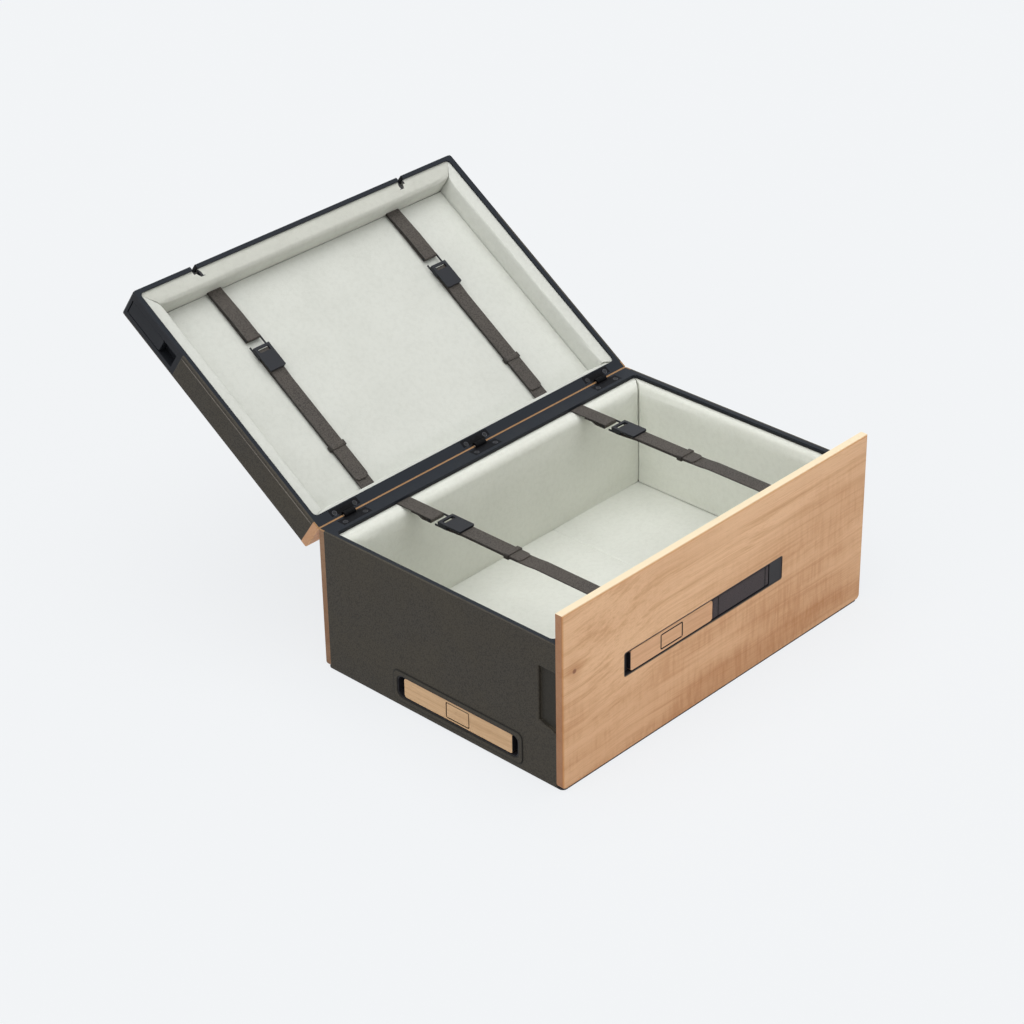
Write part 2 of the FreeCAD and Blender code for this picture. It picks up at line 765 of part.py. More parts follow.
bar_x = dim.hook_x + dim.arm_wide / 2
arm_in = dim.hook_x - dim.arm_wide / 2
bar_z = middle(dim.channel_z, dim.draw_bar_tall)
tongue_z = (lid_under + dim.tongue_lift, lid_under + dim.tongue_lift + dim.tongue_tall)
arm_top = tongue_z[1] + 1
bar_shape = [
    (-bar_x, bar_z[0]), (bar_x, bar_z[0]), (bar_x, arm_top), (arm_in, arm_top),
    (arm_in, bar_z[1]), (-arm_in, bar_z[1]), (-arm_in, arm_top), (-bar_x, arm_top)]
pad(draw_bar, "y", bar_front, bar_rear, bar_shape)
for place in hook_places:
    pad(draw_bar, "y", bar_rear, bar_rear + dim.tongue_long, rect(middle(place, dim.tongue_wide), tongue_z))
pad(draw_bar, "y", stud_tip, bar_front, *[(place, dim.channel_z, dim.stud_radius) for place in stud_places])
for piece in (latch_tray, latch_grip, latch_pad, draw_bar, latch_spring, latch_button):
    keep(piece)

# Lid shell: top board with side, front and rear walls and the latch slots
shell = new_body("lid_shell")
lid_x = (-core_out, core_out)
pad(shell, "z", lid_board_in, lid_skin, rect((-lid_core_in, lid_core_in), (lid_front, lid_strip_in)))
for sign in (-1, 1):
    wall_x = (-core_out, -lid_core_in) if sign < 0 else (lid_core_in, core_out)
    pad(shell, "z", lid_plate, lid_skin, rect(wall_x, (corner_y, lid_strip_in)))
pad(shell, "z", lid_plate, lid_board_in, rect((-lid_core_in, lid_core_in), (lid_front, lid_wall_in)))
pad(shell, "z", lid_plate, lid_board_in, rect((-lid_core_in, lid_core_in), (lid_rear_in, lid_strip_in)))
notch_top = tongue_z[1] + 0.8
branch_low = tongue_z[0] - 0.4


def latch_notches(body, y_range, low, more):
    """The bayonet slot of each hook: straight in, then sideways."""
    for place in hook_places:
        entry = (place - dim.notch_wide / 2 - more, place + dim.notch_wide / 2 + more)
        branch = (entry[0] - dim.latch_travel, entry[1])
        pocket(body, "y", y_range[0], y_range[1], rect(entry, (low, notch_top + more)))
        pocket(body, "y", y_range[0], y_range[1], rect(branch, (branch_low - more, notch_top + more)))


latch_notches(shell, (lid_front, lid_wall_in), lid_plate, as_size(0))
keep(on_lid(shell))

# Lid leather: top sheet with a flap down each side
lid_leather = new_body("lid_leather")
pad(lid_leather, "z", lid_skin, lid_top, rect((-side, side), (lid_front, lid_strip_in)))
for sign in (-1, 1):
    flap_x = (-side, -core_out) if sign < 0 else (core_out, side)
    pad(lid_leather, "z", lid_under, lid_skin, rect(flap_x, (corner_y, lid_strip_in)))
soften(lid_leather, dim.lid_corner, straight("z", near("y", lid_front)))
soften(lid_leather, dim.edge_round, on_plane("z", lid_top, lambda point: point.y < lid_strip_in.value - 1))
keep(on_lid(lid_leather))

# Lid back strip: solid wood, rebated for the rim and notched for the hinges
screw_lid_y = hinge_y - dim.screw_lid
strip = new_body("lid_back_strip")
pad(strip, "z", lid_under, lid_top, rect((-side, side), (lid_strip_in, back)))
pocket(strip, "z", lid_under, lid_plate, rect(lid_x, (lid_strip_in, back - dim.wood_lip)))
upper = lambda point: point.z > lid_under.value + 1
soften(strip, dim.wood_round, on_plane("y", back, upper))
knuckle_cuts(strip)
screw_holes(strip, screw_lid_y, lid_plate, lid_plate + dim.screw_long)
keep(on_lid(strip))

# Lid rim: flat black frame with two latch notches
lid_inner_x = lid_core_in - dim.rim_lip
lid_inner_y = (lid_wall_in + dim.rim_lip, lid_rear_in - dim.rim_lip)
lid_leaf_y = (hinge_y - dim.leaf_start - dim.leaf_lid_long, hinge_y - dim.leaf_start)
lid_rim = new_body("lid_rim")
lid_outer = rect(lid_x, (lid_front, back - dim.wood_lip))
pad(lid_rim, "z", lid_under, lid_plate, lid_outer, rect((-lid_inner_x, lid_inner_x), lid_inner_y))
soften(lid_rim, dim.rim_corner, straight("z", near("x", -lid_inner_x, lid_inner_x), near("y", *lid_inner_y)))
soften(lid_rim, dim.lid_rim_corner, straight("z", near("x", *lid_x), near("y", lid_front)))
for place in hook_places:
    notch = rect(middle(place, dim.notch_wide), (lid_front, lid_inner_y[0]))
    pocket(lid_rim, "z", lid_under, lid_plate, notch)
hinge_cuts(lid_rim, lid_leaf_y[0] - dim.snug, lid_leaf_y[1] + dim.snug, lid_under, lid_plate)
keep(on_lid(lid_rim))

# Lid corner block: the lever's slot, its finger pocket and the pivot holes
slot_front = lid_front + dim.lever_slot_end
slot_y = (slot_front, slot_front + dim.lever_slot_long)
slot_z = (lid_under + dim.lever_slot_low, lid_under + dim.lever_slot_low + dim.lever_slot_tall)
slot_floor = -side + dim.lever_slot_deep
pivot_x = -side + dim.lever_inset + dim.lever_thick / 2
pivot_y = slot_front + dim.lever_side_gap + dim.lever_thick / 2
lever_end = pivot_y + dim.lever_long
finger_y = (lever_end + dim.play, slot_y[1])
finger_floor = -side + dim.finger_deep
cup_outer_y = (finger_y[0] - dim.finger_wall, finger_y[1] + dim.finger_wall)
cup_outer_z = (slot_z[0] - dim.finger_wall, slot_z[1] + dim.finger_wall)
corner = new_body("lid_left_corner")
pad(corner, "x", -side, -lid_core_in, rect((lid_front, corner_y), (lid_under, lid_skin)))
soften(corner, dim.lid_corner, straight("z", near("x", -side), near("y", lid_front)))
pocket(corner, "z", lid_under, lid_plate, rect((-core_out, -lid_core_in), (lid_front, corner_y)))
pad(corner, "x", -lid_core_in, finger_floor + dim.finger_wall, rect(cup_outer_y, cup_outer_z))
pocket(corner, "x", -side, slot_floor, rect(slot_y, slot_z))
pocket(corner, "x", -side, finger_floor, rect(finger_y, slot_z))
pin_z = (slot_z[0] - dim.lever_pin_seat - dim.snug, slot_z[1] + dim.lever_pin_seat + dim.snug)
pocket(corner, "z", pin_z[0], pin_z[1], (pivot_x, pivot_y, dim.lever_pin_radius + dim.running))
keep(on_lid(corner))
keep(mirror("lid_right_corner", corner))

# Lid lever: flush plate with a rolled end on its own pivot stubs
lever_z = (slot_z[0] + dim.lever_side_gap, slot_z[1] - dim.lever_side_gap)
lever_x = (pivot_x - dim.lever_thick / 2, pivot_x + dim.lever_thick / 2)
lever = new_body("left_lever")
pad(lever, "z", lever_z[0], lever_z[1], rect(lever_x, (pivot_y, lever_end)))
soften(lever, dim.lever_round, straight("x", near("y", lever_end)))
soften(lever, dim.edge_round, on_plane("x", lever_x[0], lambda point: point.y > pivot_y.value + 1))
pad(lever, "z", lever_z[0], lever_z[1], (pivot_x, pivot_y, dim.lever_thick / 2))
stub = slot_z[1] + dim.lever_pin_seat
pad(lever, "z", slot_z[0] - dim.lever_pin_seat, stub, (pivot_x, pivot_y, dim.lever_pin_radius))
keep(on_lid(lever))
keep(mirror("right_lever", lever))

# Lid lining: floor pad and four mitred pads with a rolled edge towards the middle
lid_pad_low = lid_plate + dim.lid_pad_drop
lid_floor = lid_board_in - dim.lid_floor_pad
lid_pad_x = lid_core_in - dim.lid_side_pad
lid_pad_front = lid_wall_in + dim.lid_front_pad
lid_pad_rear = lid_rear_in - dim.lid_rear_pad
lid_floor_pad = new_body("lid_floor_pad")
floor_outline = rect((-lid_pad_x + gap, lid_pad_x - gap), (lid_pad_front + gap, lid_pad_rear - gap))
pad(lid_floor_pad, "z", lid_floor, lid_board_in, floor_outline)
keep(on_lid(lid_floor_pad))
shape = [
    (-lid_core_in + gap, lid_wall_in), (lid_core_in - gap, lid_wall_in),
    (lid_pad_x - gap, lid_pad_front), (-lid_pad_x + gap, lid_pad_front)]
edge = straight("x", near("y", lid_pad_front), near("z", lid_pad_low))
lid_front_pad = wall_pad("lid_front_pad", shape, lid_pad_low, lid_board_in, dim.lid_roll, edge)
latch_notches(lid_front_pad, (lid_wall_in, lid_front + dim.notch_deep), lid_pad_low, dim.play)
keep(on_lid(lid_front_pad))
shape = [
    (-lid_core_in + gap, lid_rear_in), (-lid_pad_x + gap, lid_pad_rear),
    (lid_pad_x - gap, lid_pad_rear), (lid_core_in - gap, lid_rear_in)]
edge = straight("x", near("y", lid_pad_rear), near("z", lid_pad_low))
keep(on_lid(wall_pad("lid_back_pad", shape, lid_pad_low, lid_board_in, dim.lid_edge_roll, edge)))
shape = [
    (-lid_core_in, lid_wall_in + gap), (-lid_pad_x, lid_pad_front + gap),
    (-lid_pad_x, lid_pad_rear - gap), (-lid_core_in, lid_rear_in - gap)]
edge = straight("y", near("x", -lid_pad_x), near("z", lid_pad_low))
lid_left_pad = wall_pad("lid_left_pad", shape, lid_pad_low, lid_board_in, dim.lid_edge_roll, edge)
room_y = (cup_outer_y[0] - dim.play, cup_outer_y[1] + dim.play)
room_z = (cup_outer_z[0] - dim.play, cup_outer_z[1] + dim.play)
pocket(lid_left_pad, "x", -lid_core_in, finger_floor + dim.finger_wall + dim.play, rect(room_y, room_z))
keep(on_lid(lid_left_pad))
keep(mirror("lid_right_pad", lid_left_pad))


def screw_outline(face, downwards, more):
    """Half outline of a countersunk screw, or of its hole when made a little larger."""
    way = -1 if downwards else 1
    head = dim.screw_head + more
    shank = dim.screw_shank + more
    flat = face + dim.snug * way
    cone = flat + (dim.screw_head - dim.screw_shank) * way
    tip = face + (dim.rim_plate + dim.screw_long - 1) * way
    return [(0, flat if more.value == 0 else face - way), (head, flat if more.value == 0 else face - way),
            (head, flat), (shank, cone), (shank, tip), (0, tip)]


def hinge_leaf(label, place, leaf_range, z_range, knuckles):
    """A leaf with its knuckles: plate, neck and barrel about the hinge axis."""
    body = new_body(label)
    pad(body, "z", z_range[0], z_range[1], rect(middle(place, dim.leaf_wide), leaf_range))
    soften(body, dim.leaf_round, straight("z"))
    for low, high in knuckles:
        pad(body, "z", z_range[0], z_range[1], rect((low, high), (leaf_range[1] - 1, hinge_y)))
        pad(body, "x", low, high, (hinge_y, hinge_z, dim.knuckle_radius))
    on_base = label.startswith("base")
    screw_y = screw_base_y if on_base else screw_lid_y
    for shift in (-dim.screw_span, dim.screw_span):
        hole = screw_outline(z_range[1] if on_base else z_range[0], on_base, dim.snug)
        feature = body.newObject("PartDesign::Groove", f"{label}_countersink")
        sketch = outline(body, "y", screw_y, [hole], (place + shift, as_size(0)))
        feature.Profile = sketch
        feature.ReferenceAxis = (sketch, ["V_Axis"])
        feature.Angle = 360.0
        body.Tip = feature
    bore = dim.pin_radius + dim.running
    pocket(body, "x", place - knuckle_half, place + knuckle_half, (hinge_y, hinge_z, bore))
    return body


# Hinges: three pairs of leaves, each on one pin
base_leaves = []
lid_leaves = []
pins = []
base_screws = []
lid_screws = []
for number, place in enumerate(hinge_places, start=1):
    half = dim.knuckle_middle / 2
    ends = [
        (place - knuckle_half, place - half - dim.knuckle_gap),
        (place + half + dim.knuckle_gap, place + knuckle_half)]
    base_leaves.append(hinge_leaf(f"base_leaf_{number}", place, leaf_y, (rim_under, rim_top), ends))
    centre = [(place - half, place + half)]
    lid_leaves.append(hinge_leaf(f"lid_leaf_{number}", place, lid_leaf_y, (lid_under, lid_plate), centre))
    pin = new_body(f"hinge_pin_{number}")
    pad(pin, "x", place - knuckle_half, place + knuckle_half, (hinge_y, hinge_z, dim.pin_radius))
    pins.append(pin)
    for mark, shift in (("a", -dim.screw_span), ("b", dim.screw_span)):
        screw = new_body(f"base_screw_{number}{mark}")
        half_screw = screw_outline(rim_top, True, as_size(0))[1:]
        half_screw[0] = (0, half_screw[1][1])
        turned(screw, "y", screw_base_y, (place + shift, as_size(0)), "V_Axis", half_screw)
        base_screws.append(screw)
        screw = new_body(f"lid_screw_{number}{mark}")
        half_screw = screw_outline(lid_under, False, as_size(0))[1:]
        half_screw[0] = (0, half_screw[1][1])
        turned(screw, "y", screw_lid_y, (place + shift, as_size(0)), "V_Axis", half_screw)
        lid_screws.append(screw)
keep(group("base_hinge_leaves", *base_leaves))
keep(group("hinge_pins", *pins))
keep(group("base_hinge_screws", *base_screws))
keep(on_lid(group("lid_hinge_leaves", *lid_leaves)))
keep(on_lid(group("lid_hinge_screws", *lid_screws)))


def strap_hook(label, x_place, y_place, z_place, flip):
    """A buckle plate with a strap bar under its slot and a one-armed hook towards the loop."""
    body = new_body(label)

    def place(u_low, u_high, v_low, v_high):
        """Ranges along and above the strap, turned over on the lid."""
        if flip:
            return (y_place + u_low, y_place + u_high), (z_place - v_high, z_place - v_low)
        return (y_place - u_high, y_place - u_low), (z_place + v_low, z_place + v_high)

    def bar(x_low, x_high, u_low, u_high, v_low, v_high):
        along, up = place(u_low, u_high, v_low, v_high)
        pad(body, "z", up[0], up[1], rect((x_place + x_low, x_place + x_high), along))

    stack = dim.strap_thick * 2 + dim.bar_gap
    cover = stack + dim.play
    bar_low = dim.strap_thick + (dim.bar_gap - dim.bar_thick) / 2
    bar_high = bar_low + dim.bar_thick
    half = dim.hook_wide / 2
    rail = dim.strap_wide / 2 + dim.play
    start = dim.hook_gap
    slot = start + dim.hook_slot_start
    slot_end = slot + dim.hook_slot_long
    bar_u = slot + dim.strap_thick + dim.play
    # Cover plate, side rails, strap bar, then the hook's arm and its cross bar
    bar(-half, half, start, start + dim.hook_long, cover, cover + dim.hook_plate)
    bar(-half, -rail, start, slot_end + 4, bar_low, cover)
    bar(rail, half, start, slot_end + 4, bar_low, cover)
    bar(-half, half, bar_u, bar_u + dim.bar_wide, bar_low, bar_high)
    cross = -dim.strap_thick - dim.play - dim.bar_wide
    bar(rail, half, cross, start, bar_low, bar_high)
    bar(-rail, half, cross, cross + dim.bar_wide, bar_low, bar_high)
    bar(-half, -rail, start - 4, start, bar_low, bar_high)
    along, up = place(slot, slot_end, cover, cover + dim.hook_plate)
    pocket(body, "z", up[0], up[1], rect(middle(x_place, dim.hook_slot_wide), along))
    doc.recompute()
    corner_edges = straight("z", near("x", x_place - half, x_place + half), near("z", (up[0] + up[1]) / 2))
    soften(body, dim.wood_round, corner_edges)
    return body


def strap_piece(label, x_place, corners, turn_y, inner_y, tip_y=None):
    """A leather strip on edge in side view, rounded where it turns back and at its free tip."""
    body = new_body(label)
    pad(body, "x", x_place - dim.strap_wide / 2, x_place + dim.strap_wide / 2, corners)
    if tip_y is not None:
        soften(body, dim.tip_round, straight("z", near("y", tip_y)))
    soften(body, dim.turn_outer, straight("x", near("y", turn_y)))
    soften(body, dim.turn_inner, straight("x", near("y", inner_y)))
    return body


def keeper(label, x_place, y_place, low, high):
    """A leather band round both layers of a strap."""
    body = new_body(label)
    room = dim.snug * 2
    half = dim.strap_wide / 2 + room
    inner = rect((x_place - half, x_place + half), (low - room, high + room))
    wide = dim.keeper_thick
    outer_x = (x_place - half - wide, x_place + half + wide)
    outer = rect(outer_x, (low - room - wide, high + room + wide))
    pad(body, "y", y_place - dim.keeper_long / 2, y_place + dim.keeper_long / 2, outer, inner)
    return body


# Base straps: a loop from the back wall, a hook, and a tail strap from the front wall
layer = dim.strap_thick
stack = layer * 2 + dim.bar_gap
base_loop_end = rear_in - dim.base_loop_long
base_loop_back = base_loop_end + dim.base_loop_lap
base_tip = base_loop_end - dim.base_tail_long
base_keeper = base_tip + dim.base_keeper_back
strap_low = pad_top + dim.strap_rest - layer - dim.bar_gap
upper_low = strap_low + layer + dim.bar_gap
upper_high = strap_low + stack
inner_loop = base_loop_end + layer
loop_shape = [
    (rear_in, upper_low), (rear_in, upper_high), (base_loop_end, upper_high), (base_loop_end, strap_low),
    (base_loop_back, strap_low), (base_loop_back, strap_low + layer), (inner_loop, strap_low + layer),
    (inner_loop, upper_low)]
turn = base_loop_end - dim.hook_gap - dim.hook_slot_start
turn_in = turn - layer
close_y = turn - dim.hook_long
close_high = upper_low - dim.play
close_low = close_high - layer
tail_shape = [
    (turn, upper_high), (base_tip, upper_high), (base_tip, upper_low), (turn_in, upper_low),
    (turn_in, strap_low + layer), (close_y, close_high), (base_tip - dim.base_tail_step, close_high),
    (base_tip - dim.base_tail_rise, upper_high), (wall_in, upper_high), (wall_in, upper_low),
    (base_tip - dim.base_tail_rise, upper_low), (base_tip - dim.base_tail_step, close_low),
    (close_y, close_low), (turn, strap_low)]
base_hooks = []
base_keepers = []
for name, place in (("left", -dim.strap_x), ("right", dim.strap_x)):
    loop = strap_piece(f"base_{name}_loop", place, loop_shape, base_loop_end, inner_loop)
    tail = strap_piece(f"base_{name}_tail", place, tail_shape, turn, turn_in, base_tip)
    keep(group(f"base_{name}_strap", loop, tail))
    base_hooks.append(strap_hook(f"base_{name}_hook", place, base_loop_end, strap_low, False))
    base_keepers.append(keeper(f"base_{name}_keeper", place, base_keeper, close_low, upper_high))
keep(group("base_strap_hooks", *base_hooks))
keep(group("base_strap_keepers", *base_keepers))

# Lid straps: the same pieces lying on the lid's lining, drawn upside down in the shut lid
floor_side = lid_floor - dim.lid_strap_rest
lid_loop_end = lid_pad_front + gap + dim.lid_loop_long
lid_low = floor_side - layer
lid_upper = lid_low - dim.bar_gap
lid_outer_z = lid_upper - layer
lid_inner_loop = lid_loop_end - layer
lid_start = lid_pad_front + gap
lid_tip = lid_pad_rear - dim.lid_tip_gap
lid_keeper = lid_tip - dim.lid_keeper_back
lid_lap = lid_loop_end - dim.lid_loop_lap
lid_over = lid_low - dim.play
lid_loop_shape = [
    (lid_start, floor_side), (lid_loop_end, floor_side), (lid_loop_end, lid_outer_z), (lid_lap, lid_outer_z),
    (lid_start, lid_over - layer), (lid_start, lid_over), (lid_lap, lid_upper), (lid_inner_loop, lid_upper),
    (lid_inner_loop, lid_low), (lid_start, lid_low)]
lid_turn = lid_loop_end + dim.hook_gap + dim.hook_slot_start
lid_turn_in = lid_turn + layer
lid_close = lid_turn + dim.hook_long
lid_close_z = lid_low - dim.play
lid_flat = lid_turn + dim.lid_tail_flat
lid_fall = lid_close + dim.lid_tail_fall
lid_tail_shape = [
    (lid_turn, floor_side), (lid_turn, lid_outer_z), (lid_flat, lid_outer_z), (lid_fall, lid_close_z - layer),
    (lid_tip, lid_close_z - layer), (lid_tip, lid_close_z), (lid_fall, lid_close_z), (lid_flat, lid_upper),
    (lid_turn_in, lid_upper), (lid_turn_in, lid_low), (lid_pad_rear - gap, lid_low),
    (lid_pad_rear - gap, floor_side)]
lid_hooks = []
lid_keepers = []
for name, place in (("left", -dim.strap_x), ("right", dim.strap_x)):
    loop = strap_piece(f"lid_{name}_loop", place, lid_loop_shape, lid_loop_end, lid_inner_loop)
    tail = strap_piece(f"lid_{name}_tail", place, lid_tail_shape, lid_turn, lid_turn_in, lid_tip)
    keep(on_lid(group(f"lid_{name}_strap", loop, tail)))
    lid_hooks.append(strap_hook(f"lid_{name}_hook", place, lid_loop_end, floor_side, True))
    lid_keepers.append(keeper(f"lid_{name}_keeper", place, lid_keeper, lid_close_z - layer, floor_side))
keep(on_lid(group("lid_strap_hooks", *lid_hooks)))
keep(on_lid(group("lid_strap_keepers", *lid_keepers)))

# Check every feature, then write each piece under its own name
doc.recompute()
faults = [thing.Label for thing in doc.Objects if "Invalid" in thing.State or "Error" in thing.State]
for thing in parts:
    if thing.Shape.isNull() or not thing.Shape.isValid() or not thing.Shape.Solids:
        faults.append(thing.Label)
if faults:
    raise RuntimeError(f"these pieces did not build: {faults}")
os.makedirs("parts", exist_ok=True)
for thing in parts:
    thing.Shape.exportStep(f"parts/{thing.Label}.step")
print(len(parts), "pieces")
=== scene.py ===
# A lidded trunk with a wooden front and back, leather sides, a suede lining and hooked straps.
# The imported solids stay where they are; the soft pieces are modelled here and stand for their solids.
import json
import math

import bmesh
import bpy
from mathutils import Matrix, Vector, noise

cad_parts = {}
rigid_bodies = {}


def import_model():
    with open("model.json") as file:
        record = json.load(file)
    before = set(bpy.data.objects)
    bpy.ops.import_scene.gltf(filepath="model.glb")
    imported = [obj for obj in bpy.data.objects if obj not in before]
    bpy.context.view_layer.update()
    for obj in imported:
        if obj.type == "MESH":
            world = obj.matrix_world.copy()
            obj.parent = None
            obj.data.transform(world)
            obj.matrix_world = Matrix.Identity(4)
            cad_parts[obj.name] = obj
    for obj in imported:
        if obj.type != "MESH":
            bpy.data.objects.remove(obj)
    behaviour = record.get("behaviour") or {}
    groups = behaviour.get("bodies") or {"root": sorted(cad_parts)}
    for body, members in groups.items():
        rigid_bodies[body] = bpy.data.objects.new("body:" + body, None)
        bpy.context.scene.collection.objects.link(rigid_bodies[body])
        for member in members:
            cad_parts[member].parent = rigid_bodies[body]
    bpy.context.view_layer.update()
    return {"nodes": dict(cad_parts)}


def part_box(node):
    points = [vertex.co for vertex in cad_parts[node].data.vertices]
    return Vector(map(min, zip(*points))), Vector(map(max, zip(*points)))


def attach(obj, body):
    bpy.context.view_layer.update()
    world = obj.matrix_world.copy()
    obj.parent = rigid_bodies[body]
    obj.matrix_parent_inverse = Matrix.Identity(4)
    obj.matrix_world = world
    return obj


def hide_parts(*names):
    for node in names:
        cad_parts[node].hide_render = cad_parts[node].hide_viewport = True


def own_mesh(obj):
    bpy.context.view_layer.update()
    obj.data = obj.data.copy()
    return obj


for leftover in list(bpy.data.objects):
    bpy.data.objects.remove(leftover)
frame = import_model()
solids = frame["nodes"]


# Foot plate: a thin moulded rubber sheet glued under the whole box, so that it doesn't slide.
# It is set back from the edges and shows only as a dark line at the ground.
def shade(code):
    """A colour written as six hex digits, turned into the linear values that a shader takes."""
    values = [int(code[i:i + 2], 16) / 255 for i in (0, 2, 4)]
    return tuple(v / 12.92 if v <= 0.04045 else ((v + 0.055) / 1.055) ** 2.4 for v in values) + (1.0,)


def put(tree, kind, inputs=None, **settings):
    """One shader node, with its inputs set, or linked where a socket is given."""
    node = tree.nodes.new("ShaderNode" + kind)
    for name, value in settings.items():
        setattr(node, name, value)
    for socket, value in (inputs or {}).items():
        if isinstance(value, bpy.types.NodeSocket):
            tree.links.new(value, node.inputs[socket])
        else:
            node.inputs[socket].default_value = value
    return node


def mixed(tree, factor, first, second, how="MIX"):
    """The colour between two colours, by a factor."""
    node = put(tree, "Mix", {0: factor, 6: first, 7: second}, data_type="RGBA", blend_type=how)
    return node.outputs[2]


def between(tree, value, low, high, to_low=0.0, to_high=1.0):
    """A value moved smoothly from one range to another."""
    node = put(
        tree, "MapRange", {0: value, 1: low, 2: high, 3: to_low, 4: to_high}, interpolation_type="SMOOTHSTEP")
    return node.outputs[0]


def sums(tree, how, first, second=0.0, clamp=False):
    return put(tree, "Math", {0: first, 1: second}, operation=how, use_clamp=clamp).outputs[0]


def times(tree, first, second):
    return sums(tree, "MULTIPLY", first, second)


def plus(tree, first, second, clamp=False):
    return sums(tree, "ADD", first, second, clamp)


def minus(tree, first, second):
    return sums(tree, "SUBTRACT", first, second)


def greater(tree, first, second):
    return sums(tree, "MAXIMUM", first, second)


def size_of(tree, value):
    return sums(tree, "ABSOLUTE", value)


def axes_of(tree, vector):
    """The three parts of a vector, across, deep and up."""
    return put(tree, "SeparateXYZ", {0: vector}).outputs


def stretched(tree, vector, scale):
    return put(tree, "Mapping", {"Vector": vector, "Scale": scale}).outputs[0]


def cloud(tree, vector, scale, detail=2.0, rough=0.5):
    inputs = {"Vector": vector, "Scale": scale, "Detail": detail, "Roughness": rough}
    return put(tree, "TexNoise", inputs).outputs["Fac"]


def new_group(name, takes):
    """A shader node group that takes a place and named values, and gives a surface's colour and relief."""
    tree = bpy.data.node_groups.new(name, "ShaderNodeTree")
    tree.interface.new_socket("Vector", in_out="INPUT", socket_type="NodeSocketVector")
    for label, kind, default in takes:
        socket = tree.interface.new_socket(label, in_out="INPUT", socket_type="NodeSocket" + kind)
        if default is not None:
            socket.default_value = default
    for label, kind in (("Colour", "Color"), ("Roughness", "Float"), ("Height", "Float")):
        tree.interface.new_socket(label, in_out="OUTPUT", socket_type="NodeSocket" + kind)
    return tree, tree.nodes.new("NodeGroupInput").outputs, tree.nodes.new("NodeGroupOutput").inputs


def new_finish(name, roughness=0.5, metallic=0.0, specular=0.5, sheen=0.0, sheen_rough=0.5):
    """A material with its own shader; what is the same all over is set on the shader here."""
    material = bpy.data.materials.new(name)
    material.use_nodes = True
    tree = material.node_tree
    shader = tree.nodes["Principled BSDF"]
    shader.inputs["Roughness"].default_value = roughness
    shader.inputs["Metallic"].default_value = metallic
    shader.inputs["Specular IOR Level"].default_value = specular
    shader.inputs["Sheen Weight"].default_value = sheen
    shader.inputs["Sheen Roughness"].default_value = sheen_rough
    return material, tree, shader


def on_piece(tree, turn=(0, 0, 0)):
    """Places on the piece itself, in metres, turned where its grain lies another way."""
    place = put(tree, "TexCoord").outputs["Object"]
    if any(turn):
        place = put(tree, "Mapping", {"Vector": place, "Rotation": turn}).outputs[0]
    return place


def raised(tree, shader, height, depth):
    """Lets a height shape the surface's light, to a depth in metres."""
    bump = put(tree, "Bump", {"Strength": 1.0, "Distance": depth, "Height": height})
    tree.links.new(bump.outputs[0], shader.inputs["Normal"])


def grouped_finish(name, group, values, depth, marks=(), turn=(0, 0, 0), **settings):
    """A material from a group with its own values. A mark is a tone and a function that tells where it is."""
    material, tree, shader = new_finish(name, **settings)
    skin = put(tree, "Group", {"Vector": on_piece(tree, turn), **values}, node_tree=group).outputs
    colour = skin["Colour"]
    for tone, where in marks:
        colour = mixed(tree, where(tree, on_piece(tree)), colour, shade(tone))
    tree.links.new(colour, shader.inputs["Base Color"])
    tree.links.new(skin["Roughness"], shader.inputs["Roughness"])
    raised(tree, shader, skin["Height"], depth)
    return material


def wear_finish(material, *names):
    """Gives a finish to solids of the frame."""
    for name in names:
        for slot in solids[name].material_slots:
            slot.material = material


# The fine even speckle of moulded rubber, plastic and sprayed paint.
skin_group, skin_in, skin_out = new_group(
    "moulded_skin",
    [("Colour", "Color", (0.1, 0.1, 0.1, 1)), ("Size", "Float", 2000.0), ("Spread", "Float", 0.25),
     ("Gloss low", "Float", 0.4), ("Gloss high", "Float", 0.6)])
skin_fine = cloud(skin_group, skin_in["Vector"], skin_in["Size"], 3.0, 0.6)
skin_broad = cloud(skin_group, skin_in["Vector"], 22.0, 3.0)
skin_tone = plus(skin_group, times(skin_group, minus(skin_group, skin_broad, 0.5), skin_in["Spread"]), 1.0)
skin_grey = put(skin_group, "CombineXYZ", {0: skin_tone, 1: skin_tone, 2: skin_tone}).outputs[0]
skin_group.links.new(mixed(skin_group, 1.0, skin_in["Colour"], skin_grey, "MULTIPLY"), skin_out["Colour"])
skin_gloss = put(skin_group, "MapRange", {
    0: skin_broad, 1: 0.3, 2: 0.7, 3: skin_in["Gloss low"], 4: skin_in["Gloss high"]})
skin_group.links.new(skin_gloss.outputs[0], skin_out["Roughness"])
skin_group.links.new(skin_fine, skin_out["Height"])


def skin_finish(name, colour, size, spread, gloss, depth, specular):
    """A finish of moulded or sprayed skin."""
    values = {
        "Colour": shade(colour), "Size": size, "Spread": spread,
        "Gloss low": gloss[0], "Gloss high": gloss[1]}
    return grouped_finish(name, skin_group, values, depth, specular=specular)


foot_rubber = skin_finish(
    "foot_rubber", "26262A", size=1600.0, spread=0.4, gloss=(0.7, 0.85), depth=0.0002, specular=0.3)
wear_finish(foot_rubber, "foot_plate")


